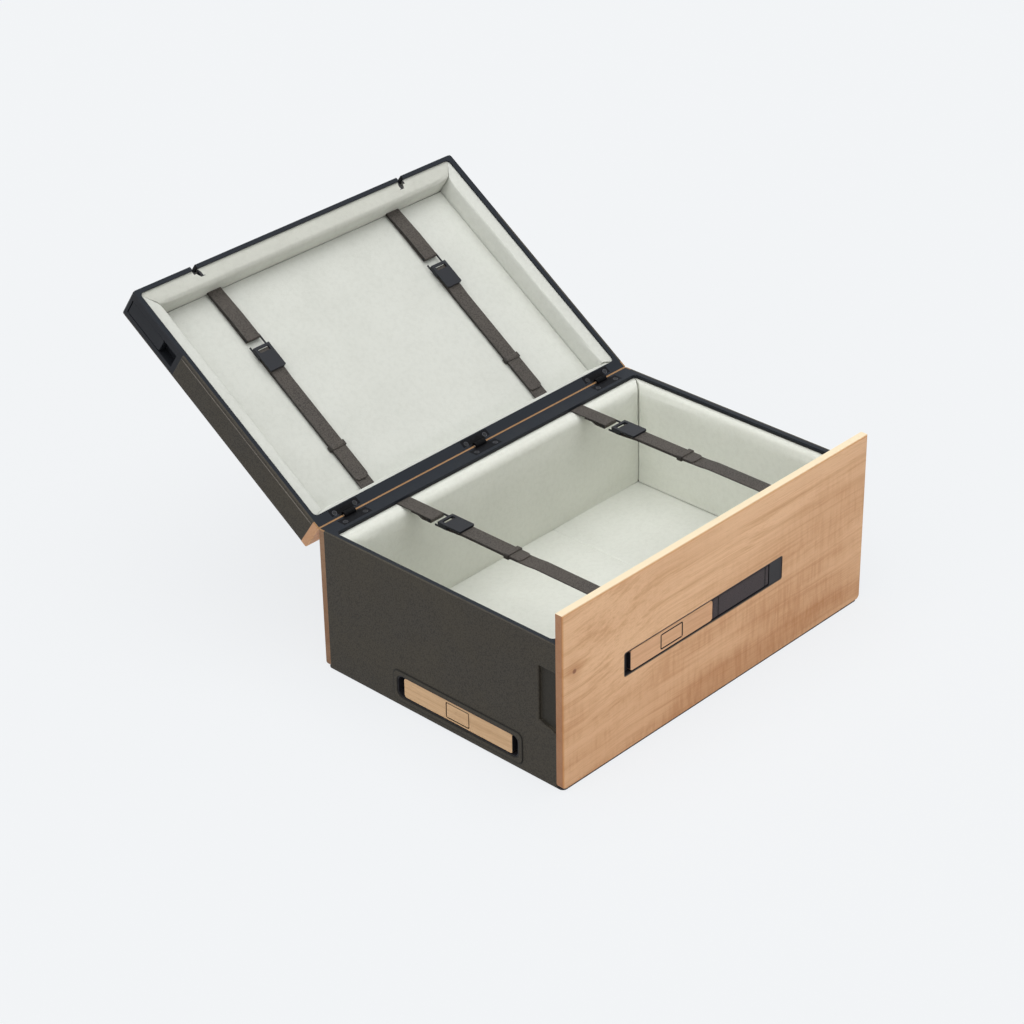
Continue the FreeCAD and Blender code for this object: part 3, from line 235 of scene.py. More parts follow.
# Wooden front, back and lid strip: solid planks of a pale warm hardwood, oiled, with the grain along
# the box. Growth lines, short dark pores, faint saw ripples across the grain, redder end grain that is
# darkened in part by painted shade, and a tone on the top faces, a painted highlight on the front and
# painted shade on the back, are in the one grain group, which the grips and the plywood use as well.
grain_group, grain_in, grain_out = new_group(
    "plank_grain",
    [("Pale", "Color", (0.6, 0.4, 0.2, 1)), ("Dark", "Color", (0.3, 0.2, 0.1, 1)),
     ("End", "Color", (0.3, 0.2, 0.1, 1)), ("Top", "Color", (0.6, 0.4, 0.2, 1)), ("Streaks", "Float", 0.5),
     ("Ripple", "Float", 0.3), ("Foot tone", "Float", 0.0), ("Facing", "Vector", None),
     ("Knot place", "Vector", (9.0, 9.0, 9.0)), ("Knot size", "Float", 0.003)])
g = grain_group
knot_far = put(g, "VectorMath", {0: grain_in["Vector"], 1: grain_in["Knot place"]}, operation="DISTANCE")
knot_near = sums(g, "DIVIDE", knot_far.outputs["Value"], grain_in["Knot size"])
knot_core = between(g, knot_near, 0.4, 1.2, 1.0, 0.0)
knot_ring = between(g, knot_near, 1.0, 6.0, 1.0, 0.0)
knot_arch = between(g, knot_near, 0.0, 48.0, 1.0, 0.0)
bent = cloud(g, stretched(g, grain_in["Vector"], (4.0, 14.0, 14.0)), 1.0, 3.0)
bent = plus(g, times(g, bent, 0.020), times(g, knot_arch, 0.022))
bent_by = put(g, "CombineXYZ", {0: 0.0, 1: bent, 2: bent}).outputs[0]
along = put(g, "VectorMath", {0: grain_in["Vector"], 1: bent_by}, operation="ADD").outputs[0]
growth = cloud(g, stretched(g, along, (2.0, 170.0, 170.0)), 1.0, 4.0, 0.6)
fibres = cloud(g, stretched(g, along, (9.0, 800.0, 800.0)), 1.0, 4.0, 0.65)
pores = cloud(g, stretched(g, along, (70.0, 2600.0, 2600.0)), 1.0, 2.0, 0.5)
patches = cloud(g, stretched(g, along, (5.0, 22.0, 22.0)), 1.0, 2.0)
ripples = cloud(g, stretched(g, grain_in["Vector"], (300.0, 60.0, 42.0)), 1.0, 1.0, 0.5)
streak = times(g, between(g, growth, 0.46, 0.72), grain_in["Streaks"])
broad = times(g, between(g, patches, 0.42, 0.72), 0.45)
broad = times(g, broad, grain_in["Streaks"])
fine = times(g, between(g, fibres, 0.42, 0.72), 0.24)
pore = times(g, between(g, pores, 0.58, 0.72), 0.30)
ripple = times(g, between(g, ripples, 0.36, 0.72), between(g, patches, 0.34, 0.60))
ripple = times(g, ripple, grain_in["Ripple"])
spot_on = axes_of(g, grain_in["Vector"])
low_down = between(g, spot_on[2], 0.0, 0.15, 1.0, 0.0)
low_down = plus(g, low_down, between(g, spot_on[0], 0.02, 0.225, 0.0, 0.35))
low_down = times(g, low_down, grain_in["Foot tone"])
low_down = times(g, low_down, between(g, patches, 0.3, 0.7, 0.5, 1.3))
ripple = times(g, ripple, plus(g, low_down, 0.06))
tone = mixed(g, low_down, grain_in["Pale"], grain_in["Dark"])
for part in (broad, streak, fine, pore, ripple):
    tone = mixed(g, part, tone, grain_in["Dark"])
tone = mixed(g, times(g, knot_ring, 0.35), tone, grain_in["Dark"])
tone = mixed(g, knot_core, tone, grain_in["End"])
facing = axes_of(g, grain_in["Facing"])
# End faces take the end tone: end grain is redder and darker, and part of that darkness is painted shade.
end_face = between(g, size_of(g, facing[0]), 0.55, 0.9, 0.0, 0.75)
tone = mixed(g, end_face, tone, grain_in["End"])
# Top faces take the top tone: painted highlight on the front panel, painted shade on the back panel and
# strip.
tone = mixed(g, between(g, facing[2], 0.45, 0.85, 0.0, 0.9), tone, grain_in["Top"])
g.links.new(tone, grain_out["Colour"])
dull = plus(g, times(g, fibres, 0.22), 0.34)
g.links.new(dull, grain_out["Roughness"])
g.links.new(minus(g, fibres, times(g, pore, 2.0)), grain_out["Height"])

LID_TURN = math.radians(146.0)
GRAIN_DEPTH = 0.00015


def wood_finish(
        name, pale, dark, end, streaks, ripple, top=None, foot_tone=0.0, turn=(0, 0, 0), face_turn=(0, 0, 0),
        knot=None, specular=0.35, marks=()):
    """An oiled wood finish with its own tones. Its grain and its end faces can be turned."""
    values = {
        "Pale": shade(pale), "Dark": shade(dark), "End": shade(end), "Top": shade(top or pale),
        "Streaks": streaks, "Ripple": ripple, "Foot tone": foot_tone}
    if knot:
        values["Knot place"] = knot
    material = grouped_finish(name, grain_group, values, GRAIN_DEPTH, marks, turn, specular=specular)
    tree = material.node_tree
    facing = put(tree, "TexCoord").outputs["Normal"]
    if any(face_turn):
        facing = put(tree, "Mapping", {"Vector": facing, "Rotation": face_turn}).outputs[0]
    grain = next(node for node in tree.nodes if node.type == "GROUP")
    tree.links.new(facing, grain.inputs["Facing"])
    return material


def from_frame(tree, place, ways, centre, half, round_by):
    """Distance in metres from a rounded rectangle drawn along two ways, less than nothing inside it."""
    axes = axes_of(tree, place)
    over = []
    for way, middle, reach in zip(ways, centre, half):
        away = size_of(tree, minus(tree, axes[way], middle))
        over.append(minus(tree, away, reach - round_by))
    inside = sums(tree, "MINIMUM", greater(tree, over[0], over[1]), 0.0)
    corner = put(tree, "CombineXYZ", {
        0: greater(tree, over[0], 0.0), 1: greater(tree, over[1], 0.0), 2: 0.0}).outputs[0]
    outside = put(tree, "VectorMath", {0: corner}, operation="LENGTH").outputs["Value"]
    return minus(tree, plus(tree, inside, outside), round_by)


PANEL_CENTRE = (0.0, 0.0975)
PANEL_HALF = (0.225, 0.0955)
PANEL_ROUND = 0.003
PANEL_FACE = -0.159
WINDOW_CENTRE = (-0.02325, 0.0993)
WINDOW_HALF = (0.11665, 0.0129)
WINDOW_ROUND = 0.002
FRONT_WAYS = (0, 2)


def panel_edge_highlight(tree, place):
    """A painted highlight: the eased edges of the front face are tinted golden."""
    near = from_frame(tree, place, FRONT_WAYS, PANEL_CENTRE, PANEL_HALF, PANEL_ROUND)
    near = between(tree, near, -0.0024, -0.0006, 0.0, 0.6)
    depth = minus(tree, axes_of(tree, place)[1], PANEL_FACE)
    return times(tree, near, between(tree, depth, 0.0004, 0.0016, 1.0, 0.0))


def latch_window_shade(tree, place):
    """Painted shade: the routed edge of the latch window is darkened, for the shadow in its gap."""
    near = from_frame(tree, place, FRONT_WAYS, WINDOW_CENTRE, WINDOW_HALF, WINDOW_ROUND)
    return between(tree, near, 0.0003, 0.0010, 0.85, 0.0)


FRONT_KNOT = (-0.209, -0.159, 0.127)
PLANK_TONES = ("E6BB91", "AA6E38")
# The strip top tone is painted shade on the top faces of the back panel and the lid strip, in the hinge gap.
STRIP_SHADED_TOP = "8E6A40"
FOOT_TONE = 0.38
# The front panel's cream top tone is a painted highlight.
panel_wood = wood_finish(
    "panel_wood", *PLANK_TONES, "8A5838", streaks=0.40, ripple=0.85, top="F9E9C8", foot_tone=FOOT_TONE,
    knot=FRONT_KNOT, marks=(("B67A3C", panel_edge_highlight), ("2B1C14", latch_window_shade)))
wear_finish(panel_wood, "front_panel")
back_wood = wood_finish(
    "back_wood", *PLANK_TONES, "56351C", streaks=0.42, ripple=1.0, top=STRIP_SHADED_TOP, foot_tone=FOOT_TONE)
wear_finish(back_wood, "back_panel")
strip_wood = wood_finish(
    "strip_wood", *PLANK_TONES, "B0805C", streaks=0.40, ripple=0.5, top=STRIP_SHADED_TOP, turn=(LID_TURN, 0, 0))
wear_finish(strip_wood, "lid_back_strip")


# Boards inside: plywood bottom, inner walls, side walls, floor board on its battens and the lid's shell.
# They carry the leather, the rims and the lining, and are almost wholly covered. The shell is near black,
# as painted shade for where it shows inside the lid's latch notches.
WALL_SHADE_FROM = 0.1460
WALL_SHADE_FADE = 0.001


def under_rim_shade(tree, place):
    """Painted shade on the walls' top edges under the rim, where they might show beside it."""
    return between(tree, axes_of(tree, place)[2], WALL_SHADE_FROM, WALL_SHADE_FROM + WALL_SHADE_FADE, 0.0, 0.97)


board_wood = wood_finish(
    "board_wood", "B59A74", "8C6D49", "90734F", streaks=0.4, ripple=0.1, specular=0.3,
    marks=(("121214", under_rim_shade),))
wear_finish(
    board_wood, "bottom_board", "front_inner_wall", "back_inner_wall", "left_side_wall", "right_side_wall",
    "floor_board")
# The shell's near black is painted shade for the dark inside of the latch notches.
shell_shade = skin_finish(
    "shell_shade", "17171A", size=900.0, spread=0.4, gloss=(0.6, 0.75), depth=0.0001, specular=0.3)
wear_finish(shell_shade, "lid_shell")


# Leather sides and lid cover: thin charcoal hide glued over the boards, with a moulded welt round each
# side grip and a pressed finger dish beside the front. Fine pebbled grain, a little paler at worn edges.
hide_group, hide_in, hide_out = new_group(
    "hide_grain",
    [("Tone", "Color", (0.05, 0.05, 0.05, 1)), ("Crease", "Color", (0.02, 0.02, 0.02, 1)),
     ("Rubbed", "Color", (0.1, 0.1, 0.1, 1)), ("Pebble", "Float", 900.0), ("Edge", "Float", 0.0015),
     ("Edge amount", "Float", 0.5)])
h = hide_group


def worn_and_lit_edge(tree, takes, patches, low, high, least):
    """How far a piece's sharp edges are lightened, more in some patches than in others: worn edges, and on
    the screws a painted highlight.
    """
    bevel = put(tree, "Bevel", {"Radius": takes["Edge"]}, samples=6).outputs[0]
    flat = put(tree, "NewGeometry").outputs["Normal"]
    edge = put(tree, "VectorMath", {0: bevel, 1: flat}, operation="DOT_PRODUCT").outputs["Value"]
    edge = between(tree, edge, 0.80, 0.985, 1.0, 0.0)
    edge = times(tree, edge, between(tree, patches, low, high, least, 1.0))
    return times(tree, edge, takes["Edge amount"])


hide_warp = put(h, "TexNoise", {"Vector": hide_in["Vector"], "Scale": 420.0, "Detail": 2.0}).outputs["Color"]
hide_shift = put(h, "VectorMath", {0: hide_warp, 3: 0.0011}, operation="SCALE").outputs[0]
hide_place = put(h, "VectorMath", {0: hide_in["Vector"], 1: hide_shift}, operation="ADD").outputs[0]
pebble = put(
    h, "TexVoronoi", {"Vector": hide_place, "Scale": hide_in["Pebble"], "Smoothness": 0.35},
    feature="SMOOTH_F1").outputs["Distance"]
hide_fine = cloud(h, hide_in["Vector"], 3200.0, 2.0)
hide_broad = cloud(h, hide_in["Vector"], 16.0, 4.0, 0.6)
crease = between(h, pebble, 0.35, 0.75)
hide_tone = mixed(h, times(h, crease, 0.8), hide_in["Tone"], hide_in["Crease"])
hide_light = between(h, hide_broad, 0.35, 0.75, 0.0, 0.22)
hide_tone = mixed(h, hide_light, hide_tone, hide_in["Rubbed"])
hide_edge = worn_and_lit_edge(h, hide_in, hide_broad, 0.30, 0.60, 0.45)
hide_tone = mixed(h, hide_edge, hide_tone, hide_in["Rubbed"])
h.links.new(hide_tone, hide_out["Colour"])
h.links.new(between(h, hide_broad, 0.3, 0.7, 0.58, 0.72), hide_out["Roughness"])
hide_high = plus(h, times(h, pebble, -1.0), times(h, hide_fine, 0.25))
h.links.new(hide_high, hide_out["Height"])


def hide_finish(name, tone, crease_tone, rubbed, pebble_size, edge_amount, depth, marks=()):
    """A matt leather finish with its own tones, grain and marks."""
    values = {
        "Tone": shade(tone), "Crease": shade(crease_tone), "Rubbed": shade(rubbed), "Pebble": pebble_size,
        "Edge amount": edge_amount}
    return grouped_finish(name, hide_group, values, depth, marks, specular=0.32)


SIDE_WAYS = (1, 2)
GRIP_CENTRE = (-0.0228, 0.024)
WELT_HALF = (0.085, 0.0175)
RECESS_HALF = (0.080, 0.0125)
WELT_ROUND = 0.007
DISH_CENTRE = (-0.142, 0.0965)
DISH_HALF = (0.0132, 0.0320)
DISH_ROUND = 0.006


def side_crease_shade(tree, place):
    """Painted shade: dark lines in the creases beside the welt, and the finger dish darkened as a hollow."""
    outer = from_frame(tree, place, SIDE_WAYS, GRIP_CENTRE, WELT_HALF, WELT_ROUND)
    inner = from_frame(tree, place, SIDE_WAYS, GRIP_CENTRE, RECESS_HALF, WELT_ROUND)
    line = between(tree, size_of(tree, outer), 0.0003, 0.0014, 0.95, 0.0)
    lip = between(tree, size_of(tree, inner), 0.0002, 0.0014, 0.8, 0.0)
    dish = from_frame(tree, place, SIDE_WAYS, DISH_CENTRE, DISH_HALF, DISH_ROUND)
    dish = between(tree, dish, -0.0025, 0.0006, 0.62, 0.0)
    return greater(tree, greater(tree, line, lip), dish)


SIDE_TONES = ("231F19", "575247")
SIDE_GRAIN = {"pebble_size": 780.0, "edge_amount": 0.5, "depth": 0.00018}
side_hide = hide_finish(
    "side_hide", "39342B", *SIDE_TONES, **SIDE_GRAIN, marks=(("17150F", side_crease_shade),))
wear_finish(side_hide, "left_side_leather", "right_side_leather")
lid_hide = hide_finish("lid_hide", "3A352C", *SIDE_TONES, **SIDE_GRAIN)
wear_finish(lid_hide, "lid_leather")


# Black metal: sheet rims round base and lid, corner blocks with their flip levers, the hinges with their
# screws, and the latch's draw bar. Sprayed satin blue-black, a little bare along the sharpest edges; on the
# screws the pale edges are a painted highlight.
metal_group, metal_in, metal_out = new_group(
    "sprayed_metal",
    [("Paint", "Color", (0.03, 0.03, 0.04, 1)), ("Bare", "Color", (0.2, 0.2, 0.2, 1)),
     ("Edge", "Float", 0.0006), ("Edge amount", "Float", 0.35)])
m = metal_group
paint_fine = cloud(m, metal_in["Vector"], 2600.0, 3.0, 0.6)
paint_broad = cloud(m, metal_in["Vector"], 30.0, 4.0, 0.6)
paint_edge = worn_and_lit_edge(m, metal_in, paint_broad, 0.35, 0.60, 0.2)
paint_tone = mixed(m, between(m, paint_broad, 0.35, 0.75, 0.0, 0.06), metal_in["Paint"], metal_in["Bare"])
m.links.new(mixed(m, paint_edge, paint_tone, metal_in["Bare"]), metal_out["Colour"])
m.links.new(between(m, paint_broad, 0.3, 0.7, 0.40, 0.54), metal_out["Roughness"])
m.links.new(paint_fine, metal_out["Height"])

PAINT_DEPTH = 0.00006


def metal_finish(name, paint, bare, edge_amount, specular=0.3, marks=()):
    """A sprayed metal finish with its own tones and marks."""
    values = {"Paint": shade(paint), "Bare": shade(bare), "Edge amount": edge_amount}
    return grouped_finish(name, metal_group, values, PAINT_DEPTH, marks, specular=specular)


HINGE_PLACES = (-0.184, 0.0, 0.184)
KNUCKLE_LINE = 0.159
KNUCKLE_WELL = (0.0122, 0.0080)
WELL_ROUND = 0.002
WELL_RAGGED = 0.0032
NOTCH_X = 0.146
NOTCH_HALF = 0.0036
NOTCH_FADE = 0.0003
NOTCH_FRONT = (0.380, 0.382)


def knuckle_shade(tree, place):
    """Painted shade keeps the sheet beside each knuckle black, for the hinge's dark recess."""
    near = 0.0
    ragged = between(tree, cloud(tree, place, 420.0, 2.0), 0.3, 0.7, 0.0, WELL_RAGGED)
    for hinge_x in HINGE_PLACES:
        well = from_frame(tree, place, (0, 1), (hinge_x, KNUCKLE_LINE), KNUCKLE_WELL, WELL_ROUND)
        well = plus(tree, well, ragged)
        near = greater(tree, near, between(tree, well, -0.0006, 0.0008, 0.95, 0.0))
    return near


def latch_notch_shade(tree, place):
    """Painted shade on the cut edges of the lid's two latch notches, darkened black."""
    axes = axes_of(tree, place)
    away = minus(tree, size_of(tree, axes[0]), NOTCH_X)
    near = between(tree, size_of(tree, away), NOTCH_HALF, NOTCH_HALF + NOTCH_FADE, 0.95, 0.0)
    return times(tree, near, between(tree, axes[1], *NOTCH_FRONT))


# This tone is painted shade, beside the hinge knuckles and in the lid's latch notches.
PAINTED_SHADE_TONE = "010102"
rim_metal = metal_finish(
    "rim_metal", "21252B", "40444D", edge_amount=0.35, specular=0.12,
    marks=((PAINTED_SHADE_TONE, knuckle_shade), (PAINTED_SHADE_TONE, latch_notch_shade)))
wear_finish(rim_metal, "base_rim", "lid_rim")
corner_metal = metal_finish("corner_metal", "202226", "40434A", edge_amount=0.45, specular=0.12)
wear_finish(corner_metal, "lid_left_corner", "lid_right_corner", "left_lever", "right_lever")
hinge_metal = metal_finish(
    "hinge_metal", "0D0E12", "2C2F36", edge_amount=0.5, specular=0.08, marks=((PAINTED_SHADE_TONE, knuckle_shade),))
wear_finish(hinge_metal, "base_hinge_leaves", "lid_hinge_leaves", "latch_draw_bar")
# The screws' pale edges are a painted highlight, light rings round each head.
screw_metal = metal_finish("screw_metal", "0B0C0F", "6C6F76", edge_amount=0.8)
wear_finish(screw_metal, "base_hinge_screws", "lid_hinge_screws")
hook_metal = metal_finish("hook_metal", "14161C", "3E414A", edge_amount=0.5)
wear_finish(hook_metal, "base_strap_hooks", "lid_strap_hooks")


# Bright steel: turned hinge pins, the side grips' guide rods with their collars, and the leaf springs.
# Drawn bar and strip, so fine lines run round or along it.
bright_steel, tree, shader = new_finish("bright_steel", metallic=1.0)
lines = cloud(tree, stretched(tree, on_piece(tree), (3000.0, 90.0, 90.0)), 1.0, 3.0)
steel_tone = mixed(tree, between(tree, lines, 0.3, 0.7), shade("A9ABB0"), shade("C6C8CB"))
tree.links.new(steel_tone, shader.inputs["Base Color"])
tree.links.new(between(tree, lines, 0.3, 0.7, 0.26, 0.40), shader.inputs["Roughness"])
raised(tree, shader, lines, 0.00003)
wear_finish(bright_steel, "hinge_pins", "left_side_rods", "right_side_rods")


# Trays: moulded black plastic cups let into the front panel and the sides, in which the grips sit.
# Their rims show as the dark line round each grip, and the front one ends in a solid cap.
tray_plastic = skin_finish(
    "tray_plastic", "1E1D21", size=1500.0, spread=0.3, gloss=(0.50, 0.62), depth=0.00008, specular=0.35)
wear_finish(tray_plastic, "latch_tray", "left_side_tray", "right_side_tray")


# Grips and push buttons: small blocks of the same wood, finer in grain and a little paler on the sides,
# eased along their edges by hand. Each button is cut from its own grip, so the grain runs on across it.
LATCH_BUTTON = (-0.072, 0.0993)
LATCH_GRIP_X = -0.0715
LATCH_GRIP_REACH = 0.0590
SIDE_GRIP_REACH = 0.0709
LATCH_CUT_HALF = (0.0154, 0.0079)
SIDE_CUT_HALF = (0.0149, 0.0084)
CUT_ROUND = 0.0016
CUT_FADE = 0.0005
STAIN_FADE = 0.0004


def shaded_gap_mark(ways, centre, half, line, amount):
    """Painted shade in the saw cut round a push button, darkening the cut and its two edges."""

    def where(tree, place):
        cut = from_frame(tree, place, ways, centre, half, CUT_ROUND)
        return between(tree, size_of(tree, cut), line, line + CUT_FADE, amount, 0.0)

    return where


def stained_ends(way, middle, reach):
    """A grip's ends, stained black like the tray that they slide in."""

    def where(tree, place):
        away = minus(tree, axes_of(tree, place)[way], middle)
        return between(tree, size_of(tree, away), reach, reach + STAIN_FADE)

    return where


# The dark tone round each button is painted shade in its gap.
GAP_SHADE_TONE = "1A120D"
STAIN = "1C1B1F"
QUARTER = (0, 0, math.pi / 2)
latch_gap_shade = shaded_gap_mark(FRONT_WAYS, LATCH_BUTTON, LATCH_CUT_HALF, line=0.0006, amount=0.95)
grip_wood = wood_finish(
    "grip_wood", "DBAC84", "A8713F", "A97F5E", streaks=0.40, ripple=0.15,
    marks=((GAP_SHADE_TONE, latch_gap_shade), (STAIN, stained_ends(0, LATCH_GRIP_X, LATCH_GRIP_REACH))))
wear_finish(grip_wood, "latch_grip", "latch_button")
side_gap_shade = shaded_gap_mark(SIDE_WAYS, GRIP_CENTRE, SIDE_CUT_HALF, line=0.0004, amount=0.8)
side_grip_wood = wood_finish(
    "side_grip_wood", "D8B48B", "A0764C", "B58D63", streaks=0.35, ripple=0.15, turn=QUARTER,
    face_turn=QUARTER,
    marks=((GAP_SHADE_TONE, side_gap_shade), (STAIN, stained_ends(1, GRIP_CENTRE[0], SIDE_GRIP_REACH))))
wear_finish(side_grip_wood, "left_side_grip", "right_side_grip", "left_side_button", "right_side_button")


# Lining pads of the base: foam covered in pale suede, glued to the walls and floor. Each wall pad is
# bonded flat behind, crowned in front, rolled over at the rim and drawn in at its mitred ends.
MM = 0.001

nap_group, nap_in, nap_out = new_group(
    "suede_nap",
    [("Brushed", "Color", (0.7, 0.7, 0.65, 1)), ("Against", "Color", (0.6, 0.6, 0.55, 1))])
n = nap_group
nap_broad = cloud(n, nap_in["Vector"], 13.0, 5.0, 0.62)
nap_mid = cloud(n, nap_in["Vector"], 190.0, 3.0, 0.6)
nap_fine = cloud(n, nap_in["Vector"], 1900.0, 2.0, 0.6)
nap_tone = between(n, nap_broad, 0.40, 0.68, 0.0, 0.22)
nap_tone = plus(n, nap_tone, between(n, nap_mid, 0.4, 0.7, 0.0, 0.22))
nap_tone = plus(n, nap_tone, between(n, nap_fine, 0.35, 0.70, 0.0, 0.33), True)
n.links.new(mixed(n, nap_tone, nap_in["Brushed"], nap_in["Against"]), nap_out["Colour"])
n.links.new(between(n, nap_mid, 0.3, 0.7, 0.82, 0.95), nap_out["Roughness"])
n.links.new(plus(n, nap_fine, times(n, nap_mid, 0.8)), nap_out["Height"])

NAP_DEPTH = 0.00022


def suede_finish(name, brushed, against):
    """Suede with a soft nap, in its tones brushed with and against the lie."""
    values = {"Brushed": shade(brushed), "Against": shade(against)}
    return grouped_finish(name, nap_group, values, NAP_DEPTH, specular=0.2, sheen=0.12, sheen_rough=0.45)


# One suede in copies: lighter on the base walls, painted light; darker in the lid, painted shade.
pale_suede = suede_finish("pale_suede", "DFE1D9", "CDCFC6")
wall_lit_suede = suede_finish("wall_lit_suede", "E5E7DE", "D3D5CB")
lid_shaded_suede = suede_finish("lid_shaded_suede", "D7D9D2", "C5C7BF")
# The front roll's suede is a darker copy of the lining: painted shade.
front_roll_shaded_suede = suede_finish("front_roll_shaded_suede", "CCCDC4", "BABBB2")


def new_piece(name, points, faces, material, body, sharp=None):
    """A mesh piece from points in millimetres, riding on its body."""
    mesh = bpy.data.meshes.new(name)
    mesh.from_pydata([Vector(point) * MM for point in points], [], faces)
    work = bmesh.new()
    work.from_mesh(mesh)
    bmesh.ops.recalc_face_normals(work, faces=work.faces)
    work.to_mesh(mesh)
    work.free()
    mesh.polygons.foreach_set("use_smooth", [True] * len(mesh.polygons))
    if sharp:
        mesh.set_sharp_from_angle(angle=math.radians(sharp))
    mesh.materials.append(material)
    piece = bpy.data.objects.new(name, mesh)
    bpy.context.scene.collection.objects.link(piece)
    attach(piece, body)
    return piece


def steps(low, high, size):
    """Even places from low to high, about size apart."""
    count = max(1, round((high - low) / size))
    return [low + (high - low) * i / count for i in range(count + 1)]


def tube_faces(rings, count):
    """Faces between neighbouring rings of points, with both ends closed."""
    faces = []
    for ring in range(rings - 1):
        for k in range(count):
            a = ring * count + k
            b = ring * count + (k + 1) % count
            faces.append((a, b, b + count, a + count))
    faces.append(tuple(range(count)))
    faces.append(tuple(range((rings - 1) * count, rings * count)))
    return faces


PAD_STEP = 5.0
CROWN = 0.5
BASE_END_PULL = 0.3
LID_END_PULL = 0.1
END_REACH = 2.4
SWELL_FRAMES = 20
WALL_SWELL = 0.6
FLOOR_SWELL = 0.4


def swell(piece, front_points, cap):
    """Blows the pad up a little with simulated cloth, its bonded back held, no point moving beyond a cap."""
    held = piece.vertex_groups.new(name="bonded")
    count = len(piece.data.vertices)
    front = set(front_points)
    held.add([i for i in range(count) if i not in front], 1.0, "REPLACE")
    before = [v.co.copy() for v in piece.data.vertices]
    cloth = piece.modifiers.new("swell", "CLOTH")
    cloth.settings.vertex_group_mass = held.name
    cloth.settings.use_pressure = True
    cloth.settings.uniform_pressure_force = 4.0
    cloth.settings.quality = 4
    cloth.settings.tension_stiffness = 25.0
    cloth.settings.compression_stiffness = 25.0
    cloth.settings.bending_stiffness = 1.0
    cloth.settings.effector_weights.gravity = 0.0
    cloth.point_cache.frame_start = 1
    cloth.point_cache.frame_end = SWELL_FRAMES
    scene = bpy.context.scene
    for number in range(1, SWELL_FRAMES + 1):
        scene.frame_set(number)
    shaped = piece.evaluated_get(bpy.context.evaluated_depsgraph_get()).to_mesh()
    after = [v.co.copy() for v in shaped.vertices]
    piece.modifiers.remove(cloth)
    scene.frame_set(1)
    for vertex, start, end in zip(piece.data.vertices, before, after):
        move = end - start
        if move.length > cap * MM:
            move *= cap * MM / move.length
        vertex.co = start + move
    piece.vertex_groups.remove(held)


ROLL_STEPS = 8
END_MARKS = (0.0, 1.0, 2.0, 3.5, 5.5, 8.0)
END_ROOM = 12.0
CROWN_RUN = 60.0
HOLLOW_EDGE = 0.1
HOLLOW_ROOM = 1.5
WRINKLE_RUN = (45.0, 30.0)
WRINKLE_DEEP = 0.25
WRINKLE_DROP = 0.2
TOP_PULL = 0.7


def wall_section(thick, tall, roll, roll_across):
    """A wall pad's outline from the wall: along the bottom, up the face, over the roll and down the back."""
    section = [(t, 0.0) for t in steps(0.0, thick, PAD_STEP)]
    section += [(thick, up) for up in steps(0.0, tall - roll, PAD_STEP)[1:]]
    for step in range(1, ROLL_STEPS + 1):
        angle = math.pi / 2 * step / ROLL_STEPS
        out = thick - roll_across + roll_across * math.cos(angle)
        section.append((out, tall - roll + roll * math.sin(angle)))
    section += [(t, tall) for t in reversed(steps(0.0, thick - roll_across, PAD_STEP)[:-1])]
    return section + [(0.0, up) for up in reversed(steps(0.0, tall, PAD_STEP * 2)[1:-1])]


def wall_stations(low, high, hollows):
    """Places along a wall pad, closer at its ends and at the sides of its hollows."""
    stations = [low + d for d in END_MARKS] + steps(low + END_ROOM, high - END_ROOM, PAD_STEP)
    stations += [high - d for d in reversed(END_MARKS)]
    for s_low, s_high, _, _, _ in hollows:
        stations = [s for s in stations if min(abs(s - s_low), abs(s - s_high)) > HOLLOW_ROOM]
        stations = sorted(stations + [s_low - HOLLOW_EDGE, s_low, s_high, s_high + HOLLOW_EDGE])
    return stations


def wall_pad(
        name, body, place, run, thick, tall, roll, mitres, seed, cover, end_pull, roll_across=None, slots=(),
        pockets=()):
    """One wall pad. place(s, t, up) gives the point s along the wall, t out from it and up to its rim."""
    section = wall_section(thick, tall, roll, roll_across or roll)
    hollows = [*slots, *pockets]
    low, high = run
    stations = wall_stations(low, high, hollows)
    points = []
    front = []
    cut = set()
    for s in stations:
        to_end = min(s - low, high - s)
        pull = end_pull * math.exp(-(to_end / END_REACH) ** 2)
        across = min(1.0, to_end / CROWN_RUN)
        along_share = (s - low) / (high - low)
        mitre = mitres[0] * (1 - along_share) - mitres[1] * along_share
        for t, up in section:
            out = t / thick
            rise = up / tall
            wave = noise.noise(Vector((s / WRINKLE_RUN[0], up / WRINKLE_RUN[1], seed))) * 0.5 + 0.5
            full = across * math.sin(math.pi * min(1.0, 0.12 + 0.8 * rise))
            slack = CROWN * (1.0 - full) + WRINKLE_DEEP * wave
            depth = max(0.0, t - out * (pull + slack))
            top = up - (pull * TOP_PULL + WRINKLE_DROP * wave) * out * rise
            for s_low, s_high, hollow, h_low, h_high in hollows:
                if s_low <= s <= s_high and h_low <= up <= h_high and depth < hollow:
                    depth = hollow
                    cut.add(len(points))
            if out > 0.5 and 0 < up:
                front.append(len(points))
            points.append(place(s + out * mitre, depth, top))
    piece = new_piece(name, points, tube_faces(len(stations), len(section)), cover, body, 50)
    # Faces inside the hook slots take the dark tray plastic, as painted shade in the slots.
    if slots:
        piece.data.materials.append(tray_plastic)
        for face in piece.data.polygons:
            if sum(1 for i in face.vertices if i in cut) >= 2:
                face.material_index = 1
    swell(piece, [i for i in front if i not in cut], WALL_SWELL)
    return piece


def sheet_faces(wide, deep):
    """Faces of a closed pad from two layers of points, each wide by deep, joined along their border."""
    layer = wide * deep
    faces = []
    for start in (0, layer):
        for i in range(wide - 1):
            for j in range(deep - 1):
                a = start + i * deep + j
                faces.append((a, a + 1, a + deep + 1, a + deep))
    border = [i * deep for i in range(wide)] + [(wide - 1) * deep + j for j in range(1, deep)]
    border += [i * deep + deep - 1 for i in range(wide - 2, -1, -1)] + list(range(deep - 2, 0, -1))
    for a, b in zip(border, border[1:] + border[:1]):
        faces.append((a, b, b + layer, a + layer))
    return faces


